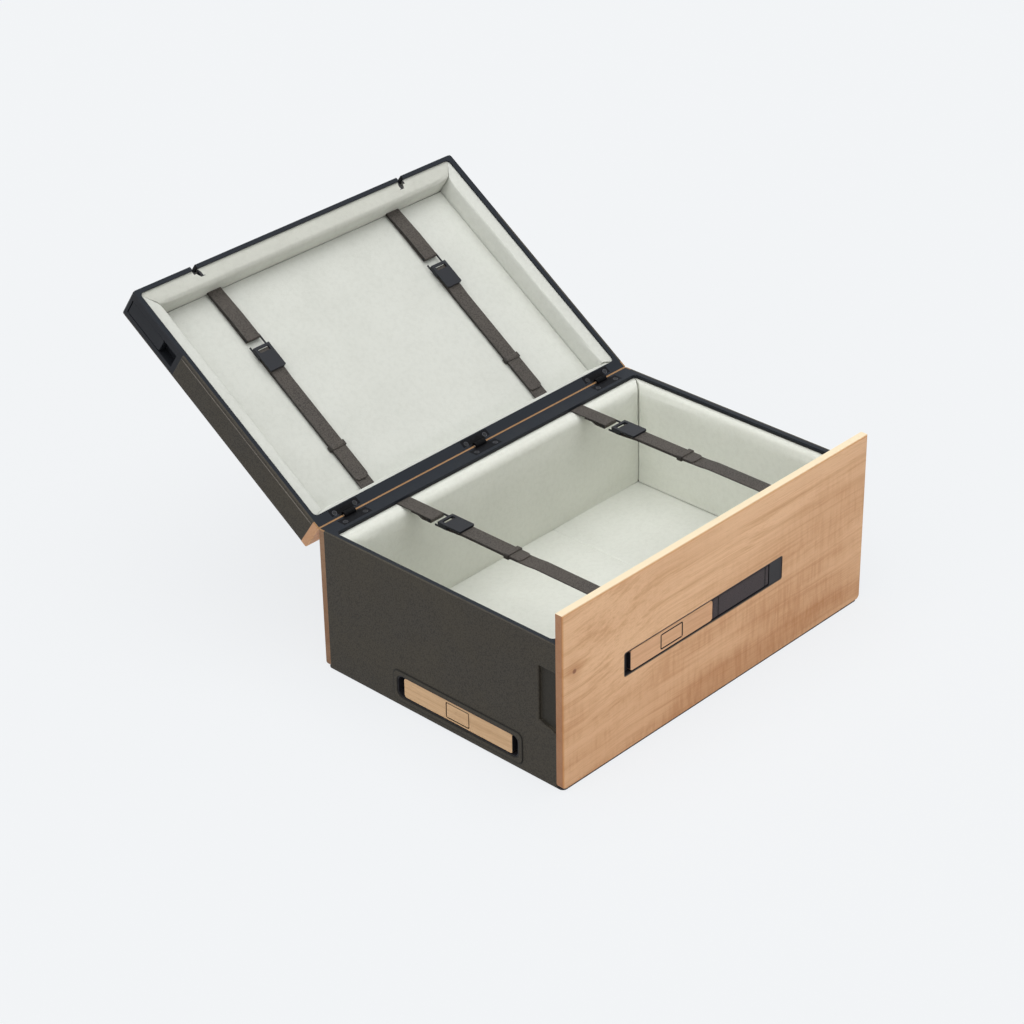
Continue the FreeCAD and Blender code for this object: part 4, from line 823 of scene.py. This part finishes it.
SEAM_MARKS = (-3.0, -1.5, -0.7, 0.0, 0.7, 1.5, 3.0)
SEAM_ROOM = 4.0
SEAM_DEEP = 0.9
SEAM_REACH = 0.9
EDGE_REACH = 3.0
CROWN_REACH = 40.0
DIMPLE_RUN = 70.0
DIMPLE_DEEP = 0.3


def floor_pad(name, body, place, x_run, y_run, thick, edge, crown, cover, seams=()):
    """A flat pad whose face is crowned a little and rounded off at its edges, with sunken seams across it."""
    columns = steps(x_run[0], x_run[1], PAD_STEP)
    for seam in seams:
        columns = [x for x in columns if abs(x - seam) > SEAM_ROOM]
        columns = sorted(columns + [seam + d for d in SEAM_MARKS])
    rows = steps(y_run[0], y_run[1], PAD_STEP)
    points = []
    front = []
    for layer in (0, 1):
        for x in columns:
            for y in rows:
                to_edge = min(x - x_run[0], x_run[1] - x, y - y_run[0], y_run[1] - y)
                fall = edge * math.exp(-(to_edge / EDGE_REACH) ** 2)
                fall += crown * math.exp(-(to_edge / CROWN_REACH))
                fall += sum(SEAM_DEEP * math.exp(-((x - seam) / SEAM_REACH) ** 2) for seam in seams)
                wave = noise.noise(Vector((x / DIMPLE_RUN, y / DIMPLE_RUN, thick))) * 0.5 + 0.5
                if layer and to_edge > 0.1:
                    front.append(len(points))
                points.append(place(x, y, (thick - fall - DIMPLE_DEEP * wave) if layer else 0.0))
    piece = new_piece(name, points, sheet_faces(len(columns), len(rows)), cover, body, 50)
    swell(piece, front, FLOOR_SWELL)
    return piece


BASE_FLOOR = 37.0
BASE_PAD_TALL = 116.6
BASE_ROLL = 9.0
SIDE_IN = 219.8
REAR_IN = 142.1
FRONT_IN = -143.4
SIDE_PAD = 10.3
REAR_PAD = 15.5
FRONT_PAD = 10.0
SEAM = 0.3


def beside_wall(along_x, wall, inward, stand):
    """Turns s along a wall, t out from it and a height into a place, which stand(x, y, up) gives."""

    def place(s, t, up):
        out = wall + inward * t
        return stand(s, out, up) if along_x else stand(out, s, up)

    return place


def on_base_floor(x, y, up):
    return (x, y, BASE_FLOOR + up)


long_wall = ((-SIDE_IN + SEAM, SIDE_IN - SEAM), (SIDE_PAD, SIDE_PAD))
short_wall = ((FRONT_IN + SEAM, REAR_IN - SEAM), (FRONT_PAD, REAR_PAD))
base_pads = [
    ("back", True, REAR_IN, -1, REAR_PAD, long_wall, 1.0),
    ("front", True, FRONT_IN, 1, FRONT_PAD, long_wall, 2.0),
    ("left", False, -SIDE_IN, 1, SIDE_PAD, short_wall, 3.0),
    ("right", False, SIDE_IN, -1, SIDE_PAD, short_wall, 4.0),
]
for side, along_x, wall, inward, thick, (run, mitres), seed in base_pads:
    place = beside_wall(along_x, wall, inward, on_base_floor)
    lining = wall_pad(
        f"base_{side}_lining", "base", place, run, thick, BASE_PAD_TALL, BASE_ROLL, mitres, seed, wall_lit_suede,
        BASE_END_PULL, roll_across=BASE_ROLL * thick / REAR_PAD)
    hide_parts(f"base_{side}_pad")

FLOOR_LOW = 32.0
FLOOR_SEAM = 75.0
FLOOR_HALF = 212.0
floor_lining = floor_pad(
    "base_floor_lining", "base", lambda x, y, up: (x, y, FLOOR_LOW + up), (-FLOOR_HALF, FLOOR_HALF),
    (FRONT_IN, REAR_IN), BASE_FLOOR - FLOOR_LOW, edge=0.6, crown=0.5, cover=pale_suede, seams=(FLOOR_SEAM,))
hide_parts("base_floor_pad")


# Lining pads of the lid: the same foam and suede, thicker at the front, with rolled edges that stand
# round a flat pad. They have hollows behind for the latch hooks and for the levers' finger pockets.
HINGE_Y = 159.0
HINGE_Z = 158.75
LID_SIN = math.sin(-LID_TURN)
LID_COS = math.cos(-LID_TURN)
LID_BOARD = 187.0
LID_PAD_TALL = 25.8
LID_ROLL = 4.2
LID_EDGE_ROLL = 1.5
LID_SEAM = 0.1
LID_SIDE_IN = 219.6
LID_REAR_IN = 147.4
LID_FRONT_IN = -143.8
LID_SIDE_PAD = 15.6
LID_REAR_PAD = 5.5
LID_FRONT_PAD = 20.2


def open_lid(x, y, z):
    """A place drawn with the lid shut, carried to the open lid."""
    dy = y - HINGE_Y
    dz = z - HINGE_Z
    return (x, HINGE_Y + LID_COS * dy - LID_SIN * dz, HINGE_Z + LID_SIN * dy + LID_COS * dz)


def on_lid_board(x, y, up):
    return open_lid(x, y, LID_BOARD - up)


lid_long_wall = ((-LID_SIDE_IN + LID_SEAM, LID_SIDE_IN - LID_SEAM), (LID_SIDE_PAD, LID_SIDE_PAD))
lid_short_wall = ((LID_FRONT_IN + LID_SEAM, LID_REAR_IN - LID_SEAM), (LID_FRONT_PAD, LID_REAR_PAD))
HOOK_X = 146.0
SLOT_HALF = 3.3
SLOT_DEEP = 9.3
SLOT_UP = (12.0, 30.0)
ROOM_LEFT = 12.5
ROOM_RIGHT = 5.5
ROOM_UP = (10.0, 22.5)
FINGER_RUN = (-144.0, -60.0)
FINGER_DEEP = 7.2
FINGER_UP = (-1.0, 22.0)
hook_places = (-HOOK_X, HOOK_X)
hook_slots = [(x - SLOT_HALF, x + SLOT_HALF, SLOT_DEEP, *SLOT_UP) for x in hook_places]
hook_rooms = [(x - ROOM_LEFT, x + ROOM_RIGHT, SLOT_DEEP, *ROOM_UP) for x in hook_places]
finger_rooms = [(*FINGER_RUN, FINGER_DEEP, *FINGER_UP)]
side_rooms = {"pockets": finger_rooms}
front_rooms = {"slots": hook_slots, "pockets": hook_rooms}
flat_edge = (LID_EDGE_ROLL, lid_shaded_suede)
lid_pads = [
    ("back", True, LID_REAR_IN, -1, LID_REAR_PAD, flat_edge, lid_long_wall, 5.0, {}),
    ("front", True, LID_FRONT_IN, 1, LID_FRONT_PAD, (LID_ROLL, front_roll_shaded_suede), lid_long_wall, 6.0, front_rooms),
    ("left", False, -LID_SIDE_IN, 1, LID_SIDE_PAD, flat_edge, lid_short_wall, 7.0, side_rooms),
    ("right", False, LID_SIDE_IN, -1, LID_SIDE_PAD, flat_edge, lid_short_wall, 8.0, side_rooms),
]
for side, along_x, wall, inward, thick, (roll, cover), (run, mitres), seed, rooms in lid_pads:
    place = beside_wall(along_x, wall, inward, on_lid_board)
    lining = wall_pad(
        f"lid_{side}_lining", "lid", place, run, thick, LID_PAD_TALL, roll, mitres, seed, cover, LID_END_PULL,
        **rooms)
    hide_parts(f"lid_{side}_pad")

LID_FLOOR_HALF = 203.7
LID_FLOOR_FRONT = -123.3
LID_FLOOR_BACK = LID_REAR_IN - LID_REAR_PAD - SEAM
LID_FLOOR_PAD = 2.5
lid_floor_lining = floor_pad(
    "lid_floor_lining", "lid", on_lid_board, (-LID_FLOOR_HALF, LID_FLOOR_HALF),
    (LID_FLOOR_FRONT, LID_FLOOR_BACK), LID_FLOOR_PAD, edge=0.5, crown=0.3, cover=lid_shaded_suede)
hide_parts("lid_floor_pad")


# Latch pad: a strip of dark leather over a thin foam, sewn across near both ends, that fills the rest
# of the front channel and slides with the latch. The seams sink into it between rows of waxed thread.
PAD_X = (-11.9, 74.0)
PAD_Z = (88.0, 110.6)
PAD_FACE = -158.6
PAD_BACK = -154.2
PAD_SEAMS = (-3.3, 67.9)
PAD_GRID = 1.2
PAD_EDGE_DEEP = 1.1
PAD_EDGE_REACH = 0.8
PAD_SEAM_DEEP = 0.7
PAD_SEAM_REACH = 0.55
PAD_DEEPEST = 1.6
PAD_SET_BACK = 0.12


def sewn_lines(tree, place):
    """Thread and shadow along the pad's seams."""
    away = axes_of(tree, place)[0]
    line = 0.0
    for seam in PAD_SEAMS:
        near = size_of(tree, minus(tree, away, seam * MM))
        line = greater(tree, line, between(tree, near, 0.0005, 0.0010, 0.9, 0.0))
    return line


pad_hide = hide_finish(
    "pad_hide", "3B3335", "272123", "5A5153", pebble_size=1300.0, edge_amount=0.3, depth=0.00010,
    marks=(("0B090A", sewn_lines),))
seam_columns = [x + d for x in PAD_SEAMS for d in (-0.5, 0.0, 0.5)]
columns = sorted(set(steps(PAD_X[0], PAD_X[1], PAD_GRID) + seam_columns))
rows = steps(PAD_Z[0], PAD_Z[1], PAD_GRID)


def pad_face(x, z):
    """How far the leather's face lies behind the front of the pad."""
    to_end = min(x - PAD_X[0], PAD_X[1] - x)
    to_side = min(z - PAD_Z[0], PAD_Z[1] - z)
    fall = sum(PAD_EDGE_DEEP * math.exp(-(near / PAD_EDGE_REACH) ** 2) for near in (to_end, to_side))
    fall += sum(PAD_SEAM_DEEP * math.exp(-((x - seam) / PAD_SEAM_REACH) ** 2) for seam in PAD_SEAMS)
    return min(fall, PAD_DEEPEST) + PAD_SET_BACK


points = [(x, PAD_BACK, z) for x in columns for z in rows]
points += [(x, PAD_FACE + pad_face(x, z), z) for x in columns for z in rows]
faces = sheet_faces(len(columns), len(rows))
latch_pad = new_piece("latch_pad", points, faces, pad_hide, "latch", 60)
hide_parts("latch_leather_pad")


STITCH_LONG = 1.7
STITCH_SIDES = 6
STITCH_SHAPE = ((-0.5, 0.35), (-0.32, 0.9), (0.0, 1.0), (0.32, 0.9), (0.5, 0.35))


def shifted(faces, start):
    """Faces counted from another first point."""
    return [tuple(start + i for i in face) for face in faces]


def stitches(name, spots, way, lift, radius, material, body):
    """A row of thread stitches: short rounded lengths lying along a direction on a surface."""
    points = []
    faces = []
    side = way.cross(lift).normalized()
    for spot in spots:
        start = len(points)
        for along_by, size in STITCH_SHAPE:
            for k in range(STITCH_SIDES):
                angle = math.tau * k / STITCH_SIDES
                out = side * math.cos(angle) * radius * size + lift * math.sin(angle) * radius * size
                points.append(spot + way * along_by * STITCH_LONG + out)
        faces += shifted(tube_faces(len(STITCH_SHAPE), STITCH_SIDES), start)
    return new_piece(name, points, faces, material, body)


def thread_finish(name, dark, pale):
    """Waxed thread, its twist darker and paler."""
    material, tree, shader = new_finish(name, roughness=0.7, specular=0.25)
    twist = cloud(tree, stretched(tree, on_piece(tree), (2500.0, 2500.0, 2500.0)), 1.0, 2.0)
    tone = mixed(tree, between(tree, twist, 0.3, 0.7), shade(dark), shade(pale))
    tree.links.new(tone, shader.inputs["Base Color"])
    raised(tree, shader, twist, 0.0001)
    return material


SEAM_OUT = 1.7
STITCH_EDGE = 2.2
STITCH_PITCH = 2.3
STITCH_SUNK = 0.28
THREAD_RADIUS = 0.26
thread = thread_finish("thread", "2A2527", "4A4345")
thread_spots = []
for seam in PAD_SEAMS:
    for shift in (-SEAM_OUT, SEAM_OUT):
        for z in steps(PAD_Z[0] + STITCH_EDGE, PAD_Z[1] - STITCH_EDGE, STITCH_PITCH):
            thread_spots.append(Vector((seam + shift, PAD_FACE + STITCH_SUNK, z)))
pad_up = Vector((0, 0, 1))
pad_out = Vector((0, -1, 0))
stitches("latch_pad_stitches", thread_spots, pad_up, pad_out, THREAD_RADIUS, thread, "latch")


# Leaf springs: strips of bright spring steel behind the push buttons, with a foot at each end and an arch
# between. Each rests loose in its pocket.
LEAF_THICK = 0.25
LEAF_SHAPE = ((0.0, 0.0), (0.16, 0.0), (0.20, 0.08), (0.26, 0.5), (0.32, 0.92), (0.36, 1.0))
leaf_half = [*LEAF_SHAPE, (0.5, 1.0)]
leaf_line = leaf_half + [(1 - along_share, rise) for along_share, rise in reversed(LEAF_SHAPE)]
leaf_springs = [
    ("latch", "latch", "latch_button_press", 0, 1, -1),
    ("left_side", "left_grip", "left_button_press", 1, 0, -1),
    ("right_side", "right_grip", "right_button_press", 1, 0, 1),
]
for label, body, joint, way, press_way, outward in leaf_springs:
    low, high = [[value / MM for value in corner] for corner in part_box(f"{label}_spring")]
    pocket_floor = high[press_way] if outward < 0 else low[press_way]
    arch = high[press_way] - low[press_way] - LEAF_THICK
    points = []
    for along_share, rise in leaf_line:
        for z, lift in ((low[2], 0.0), (low[2], LEAF_THICK), (high[2], LEAF_THICK), (high[2], 0.0)):
            point = [0.0, 0.0, z]
            point[way] = low[way] + (high[way] - low[way]) * along_share
            point[press_way] = pocket_floor + outward * (rise * arch + lift)
            points.append(point)
    leaf = new_piece(f"{label}_leaf", points, tube_faces(len(leaf_line), 4), bright_steel, body, 40)
    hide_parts(f"{label}_spring")
    anchor = [value * MM for value in points[0]]
    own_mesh(leaf)


# Straps: split leather 18 mm wide. In the base a short loop from the back wall goes round the hook's bar,
# and a long tail from the front wall turns back through the hook. Both ends are skived and sewn down.
STRAP_X = 127.0
STRAP_HALF = 9.0
STRAP_THICK = 1.3
TIP_ROUND = 5.0
TURN = 1.1
PATH_STEP = 3.0
PATH_LEAST = 0.02
STRAP_EDGE_DARK_BAND = (0.0080, 0.0088)


def painted_and_shaded_edges(tree, place):
    """The straps' long edges, sealed with dark paint and darkened further by painted shade along their sides.
    """
    along = size_of(tree, axes_of(tree, place)[0])
    away = size_of(tree, minus(tree, along, STRAP_X * MM))
    return between(tree, away, *STRAP_EDGE_DARK_BAND, 0.0, 0.75)


strap_hide = hide_finish(
    "strap_hide", "4E4944", "27231F", "69635C", pebble_size=800.0, edge_amount=0.45, depth=0.00024,
    marks=(("1B1815", painted_and_shaded_edges),))


def rounded(corners, radius):
    """A path through corners, each rounded by an arc where there is room for it."""
    path = [Vector(corners[0])]
    for before, here, after in zip(corners, corners[1:], corners[2:]):
        here = Vector(here)
        back = Vector(before) - here
        on = Vector(after) - here
        turn = math.pi - back.angle(on)
        reach = min(radius * math.tan(turn / 2), back.length / 2, on.length / 2)
        if turn < 0.01:
            path.append(here)
            continue
        start = here + back.normalized() * reach
        end = here + on.normalized() * reach
        count = max(3, int(math.degrees(turn) / 9))
        for k in range(count + 1):
            share = k / count
            path.append(start.lerp(here, share).lerp(here.lerp(end, share), share))
    path.append(Vector(corners[-1]))
    filled = [path[0]]
    for point in path[1:]:
        gap = (point - filled[-1]).length
        if gap > PATH_LEAST:
            count = max(1, int(gap / PATH_STEP))
            for k in range(1, count + 1):
                filled.append(filled[-1].lerp(point, 1 / (count - k + 1)))
    return filled


STRAP_EDGE = 0.42
STRAP_FACE = ((0.0, 1.0), (0.45, 0.99), (0.8, 0.96))
RING_POINTS = 20


def strap_ring(half, thin):
    """A strap's cut end, with soft edges: places across it and out from its middle."""
    ring = []
    for side in (1, -1):
        face = [(share * half, rise) for share, rise in STRAP_FACE] + [(half - STRAP_EDGE, 0.92)]
        ring += [(side * across, side * rise * thin) for across, rise in face]
        ring.append((side * (half - STRAP_EDGE * 0.3), side * 0.6 * thin))
        ring.append((side * half, 0.0))
        ring.append((side * (half - STRAP_EDGE * 0.3), -side * 0.6 * thin))
        ring += [(side * across, -side * rise * thin) for across, rise in reversed(face[1:])]
    return ring


def strap_band(points, faces, x_mid, path, tip_at_start=False, tip_at_end=False):
    """Adds a strap along a path in side view, with soft edges and a round tip where asked."""
    lengths = [0.0]
    for a, b in zip(path, path[1:]):
        lengths.append(lengths[-1] + (b - a).length)
    start = len(points)
    narrow = STRAP_HALF - TIP_ROUND
    for index, spot in enumerate(path):
        before = path[max(0, index - 1)]
        after = path[min(len(path) - 1, index + 1)]
        run = (after - before).normalized()
        up = Vector((-run.y, run.x))
        to_tip = TIP_ROUND
        if tip_at_start:
            to_tip = min(to_tip, lengths[index])
        if tip_at_end:
            to_tip = min(to_tip, lengths[-1] - lengths[index])
        half = narrow + math.sqrt(max(0.0, TIP_ROUND ** 2 - (TIP_ROUND - to_tip) ** 2))
        half = max(half, narrow + 0.6)
        thin = STRAP_THICK / 2 * (0.8 if to_tip < 0.2 else 1.0)
        for across, out in strap_ring(half, thin):
            points.append((x_mid + across, spot.x + up.x * out, spot.y + up.y * out))
    faces += shifted(tube_faces(len(path), RING_POINTS), start)


TIP_MARKS = (0.0, 0.25, 0.7, 1.4, 2.4, 3.6, 5.0, 7.0)
TIP_REACH = 8.0


def close_to_tip(path, at_start):
    """More points near a round tip, so that its curve is smooth."""
    ends = path if at_start else list(reversed(path))
    way = (ends[1] - ends[0]).normalized()
    close = [ends[0] + way * d for d in TIP_MARKS]
    rest = [p for p in ends if (p - ends[0]).length > TIP_REACH]
    out = close + rest
    return out if at_start else list(reversed(out))


def strap_pair(body, loop, tail, tip_at_start, carry):
    """The left and right straps of base or lid, each a loop and a tail, carried to where they lie."""
    for side, x_mid in (("left", -STRAP_X), ("right", STRAP_X)):
        points = []
        faces = []
        strap_band(points, faces, x_mid, loop)
        strap_band(points, faces, x_mid, tail, tip_at_start, not tip_at_start)
        points = [carry(*point) for point in points]
        solid = f"{body}_{side}_strap"
        strap = new_piece(f"{solid}_leather", points, faces, strap_hide, body, 60)
        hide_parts(solid)


def as_drawn(x, y, z):
    return (x, y, z)


BASE_UPPER = 154.55
BASE_LOWER = 151.05
BASE_LAP = 153.1
BASE_UNDER = 152.95
LOOP_TURN = 94.45
LOOP_LAP = (107.0, 112.0, 122.0)
TAIL_TIP = -23.2
TAIL_TURN = 80.15
TAIL_UNDER = (76.0, 50.8, -25.2, -43.2)
base_loop = rounded(
    [(REAR_IN, BASE_UPPER), (LOOP_TURN, BASE_UPPER), (LOOP_TURN, BASE_LOWER), (LOOP_LAP[0], BASE_LOWER),
     (LOOP_LAP[1], BASE_LAP), (LOOP_LAP[2], BASE_LAP)], TURN)
base_tail = rounded(
    [(TAIL_TIP, BASE_UPPER), (TAIL_TURN, BASE_UPPER), (TAIL_TURN, BASE_LOWER), (TAIL_UNDER[0], BASE_LOWER),
     (TAIL_UNDER[1], BASE_UNDER), (TAIL_UNDER[2], BASE_UNDER), (TAIL_UNDER[3], BASE_UPPER),
     (FRONT_IN, BASE_UPPER)], TURN)
strap_pair("base", base_loop, close_to_tip(base_tail, True), True, as_drawn)


# Lid straps: the same two parts, lying on the lid's lining. The loop comes out from under the front pad.
# The tail comes out from under the back pad, turns back through the hook and lies flat over itself.
LID_NEAR = 182.15
LID_FAR = 178.65
LID_OVER = 180.55
LID_LOOP_TURN = -56.15
LID_LOOP_LAP = -85.5
LID_TAIL_TURN = -41.85
LID_TAIL_OVER = (-28.5, -0.5)
LID_TAIL_TIP = 127.8
lid_loop = rounded(
    [(LID_FLOOR_FRONT, LID_NEAR), (LID_LOOP_TURN, LID_NEAR), (LID_LOOP_TURN, LID_FAR),
     (LID_LOOP_LAP, LID_FAR), (LID_FLOOR_FRONT, LID_OVER)], TURN)
lid_tail = rounded(
    [(LID_FLOOR_BACK, LID_NEAR), (LID_TAIL_TURN, LID_NEAR), (LID_TAIL_TURN, LID_FAR),
     (LID_TAIL_OVER[0], LID_FAR), (LID_TAIL_OVER[1], LID_OVER), (LID_TAIL_TIP, LID_OVER)], TURN)
strap_pair("lid", lid_loop, close_to_tip(lid_tail, False), False, open_lid)


# Strap stitches: two rows of waxed thread across each loop in the base, where its skived end is sewn
# down under the upper layer. They lie across the strap, a little sunk into the leather.
SEWN_AT = (116.0, 119.5)
SEWN_HALF = 6.6
SEWN_PITCH = 2.2
SEWN_UP = 0.62
SEWN_RADIUS = 0.2
strap_thread = thread_finish("strap_thread", "38322E", "5A524B")
sewn_spots = []
for x_mid in (-STRAP_X, STRAP_X):
    for x in steps(x_mid - SEWN_HALF, x_mid + SEWN_HALF, SEWN_PITCH):
        sewn_spots += [Vector((x, y, BASE_UPPER + SEWN_UP)) for y in SEWN_AT]
across_strap = Vector((1, 0, 0))
strap_up = Vector((0, 0, 1))
stitches("base_strap_stitches", sewn_spots, across_strap, strap_up, SEWN_RADIUS, strap_thread, "base")


# Lid edge bead: where the side leather turns in under the lid's rim, a thin cord is laid in the fold.
# It runs along both sides of the lid, from the corner block to the wooden strip. Its paler tone is a
# painted highlight along the edge.
BEAD_RADIUS = 0.7
BEAD_SIDES = 10
BEAD_STEP = 6.0
BEAD_X = 224.75
BEAD_Z = 163.0
BEAD_RUN = (-62.2, 150.2)
bead_hide = hide_finish(
    "bead_hide", "6E6860", "48433D", "8A847B", pebble_size=1200.0, edge_amount=0.4, depth=0.00008)
points = []
faces = []
for side_x in (-BEAD_X, BEAD_X):
    start = len(points)
    rings = steps(BEAD_RUN[0], BEAD_RUN[1], BEAD_STEP)
    for y in rings:
        to_end = min(y - BEAD_RUN[0], BEAD_RUN[1] - y)
        size = BEAD_RADIUS * (0.5 if to_end < 0.1 else 1.0)
        for k in range(BEAD_SIDES):
            angle = math.tau * k / BEAD_SIDES
            points.append(open_lid(side_x + size * math.cos(angle), y, BEAD_Z + size * math.sin(angle)))
    faces += shifted(tube_faces(len(rings), BEAD_SIDES), start)
new_piece("lid_edge_bead", points, faces, bead_hide, "lid", 60)


# Keepers: narrow leather bands, closed round both layers of each strap to hold the free tip down.
# Each is skived, lapped underneath and slides along the strap by hand.
KEEPER_ROOM = 0.75
KEEPER_CORNER = 0.8
KEEPER_SECTION = (
    (-3.0, -0.4), (-3.0, 0.25), (-2.75, 0.5), (0.0, 0.55), (2.75, 0.5), (3.0, 0.25), (3.0, -0.4))
CORNER_STEPS = 7


def keeper_band(points, faces, x_mid, y_mid, z_low, z_high):
    """One band: a soft-edged strip bent round a flat rectangle."""
    half_wide = STRAP_HALF + KEEPER_ROOM - KEEPER_CORNER
    half_tall = (z_high - z_low) / 2 + KEEPER_ROOM - KEEPER_CORNER
    z_mid = (z_low + z_high) / 2
    start = len(points)
    for cx, cz, first in ((1, 1, 0), (-1, 1, 90), (-1, -1, 180), (1, -1, 270)):
        for k in range(CORNER_STEPS):
            angle = math.radians(first + 90 * k / (CORNER_STEPS - 1))
            for along_by, out in KEEPER_SECTION:
                x = cx * half_wide + (KEEPER_CORNER + out) * math.cos(angle)
                z = cz * half_tall + (KEEPER_CORNER + out) * math.sin(angle)
                points.append((x_mid + x, y_mid + along_by, z_mid + z))
    count = len(KEEPER_SECTION)
    around = 4 * CORNER_STEPS
    for ring in range(around):
        for k in range(count):
            here = start + ring * count
            on = start + (ring + 1) % around * count
            beside = (k + 1) % count
            faces.append((here + k, here + beside, on + beside, on + k))


def keeper_pair(body, y_mid, z_low, z_high, carry):
    """The keepers of the left and right straps, in base or lid."""
    points = []
    faces = []
    for x_mid in (-STRAP_X, STRAP_X):
        keeper_band(points, faces, x_mid, y_mid, z_low, z_high)
    points = [carry(*point) for point in points]
    bands = new_piece(f"{body}_keeper_bands", points, faces, strap_hide, body, 50)
    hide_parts(f"{body}_strap_keepers")


BASE_KEEPER = (-6.2, 152.3, 155.2)
LID_KEEPER = (84.5, 179.9, 182.8)
keeper_pair("base", *BASE_KEEPER, as_drawn)
keeper_pair("lid", *LID_KEEPER, open_lid)


# Studio: a wide pale floor with no edge in view, an even pale sky, a broad soft lamp overhead, one from
# the left and a weak low one in front. The camera stands at the photograph's angle, a little to the left
# and above, with a long lens.
BACKGROUND = shade("F1F3F5")
STUDIO_HALF = 40.0
FLOOR_GLOW = 0.88


def seen_rays(tree):
    """Whether the camera sees the surface, straight on, in a reflection or through something."""
    rays = put(tree, "LightPath").outputs
    seen = greater(tree, rays["Is Camera Ray"], rays["Is Glossy Ray"])
    return greater(tree, seen, rays["Is Transmission Ray"])


floor_mesh = bpy.data.meshes.new("studio_floor")
floor_corners = [(x * STUDIO_HALF, y * STUDIO_HALF, 0) for x, y in ((-1, -1), (1, -1), (1, 1), (-1, 1))]
floor_mesh.from_pydata(floor_corners, [], [(0, 1, 2, 3)])
floor = bpy.data.objects.new("studio_floor", floor_mesh)
bpy.context.scene.collection.objects.link(floor)
floor_paint = bpy.data.materials.new("floor_paint")
floor_paint.use_nodes = True
tree = floor_paint.node_tree
tree.nodes.clear()
glow = put(tree, "Emission", {"Color": BACKGROUND, "Strength": FLOOR_GLOW})
shadowed = put(tree, "BsdfDiffuse", {"Color": tuple(c * (1 - FLOOR_GLOW) for c in BACKGROUND[:3]) + (1,)})
shown = put(tree, "AddShader", {0: glow.outputs[0], 1: shadowed.outputs[0]})
plain = put(tree, "BsdfDiffuse", {"Color": (0.8, 0.8, 0.8, 1)})
both = put(tree, "MixShader", {0: seen_rays(tree), 1: plain.outputs[0], 2: shown.outputs[0]})
out = tree.nodes.new("ShaderNodeOutputMaterial")
tree.links.new(both.outputs[0], out.inputs["Surface"])
floor_mesh.materials.append(floor_paint)

scene = bpy.context.scene
world = bpy.data.worlds.new("studio_sky")
scene.world = world
world.use_nodes = True
tree = world.node_tree
tree.nodes.clear()
SKY_LIGHT = 0.274
sky = put(tree, "Background", {"Color": (1, 1, 1, 1), "Strength": SKY_LIGHT})
behind = put(tree, "Background", {"Color": BACKGROUND, "Strength": 1.0})
both = put(tree, "MixShader", {0: seen_rays(tree), 1: sky.outputs[0], 2: behind.outputs[0]})
out = tree.nodes.new("ShaderNodeOutputWorld")
tree.links.new(both.outputs[0], out.inputs["Surface"])


def towards(azimuth, elevation):
    """The way to something seen at an azimuth from the front and an elevation, in degrees."""
    a = math.radians(azimuth)
    e = math.radians(elevation)
    return Vector((math.sin(a) * math.cos(e), -math.cos(a) * math.cos(e), math.sin(e)))


def soft_lamp(name, strength, angle, azimuth, elevation):
    """A sun with a wide disc, so that its light is even over the floor and its shadows are soft."""
    data = bpy.data.lights.new(name, "SUN")
    data.energy = strength
    data.angle = math.radians(angle)
    lamp = bpy.data.objects.new(name, data)
    lamp.rotation_mode = "QUATERNION"
    lamp.rotation_quaternion = towards(azimuth, elevation).to_track_quat("Z", "Y")
    scene.collection.objects.link(lamp)


soft_lamp("overhead_lamp", strength=1.93, angle=70.0, azimuth=0.0, elevation=88.0)
soft_lamp("front_lamp", strength=0.42, angle=20.0, azimuth=8.0, elevation=9.0)
soft_lamp("left_lamp", strength=0.93, angle=60.0, azimuth=-80.0, elevation=40.0)

EYE = (-1.8196, -1.6205, 1.5736)
LENS = 101.07
SENSOR = 36.0
AZIMUTH = -46.354
ELEVATION = 30.444
ROLL = math.radians(-1.015)
back = towards(AZIMUTH, ELEVATION)
level = Vector((math.cos(math.radians(AZIMUTH)), math.sin(math.radians(AZIMUTH)), 0))
upright = back.cross(level)
right = level * math.cos(ROLL) + upright * math.sin(ROLL)
up = upright * math.cos(ROLL) - level * math.sin(ROLL)
camera_data = bpy.data.cameras.new("photo_camera")
camera_data.lens = LENS
camera_data.sensor_width = SENSOR
camera = bpy.data.objects.new("photo_camera", camera_data)
turned = Matrix((right, up, back)).transposed().to_4x4()
camera.matrix_world = Matrix.Translation(EYE) @ turned
scene.collection.objects.link(camera)
scene.camera = camera
scene.view_settings.view_transform = "Standard"
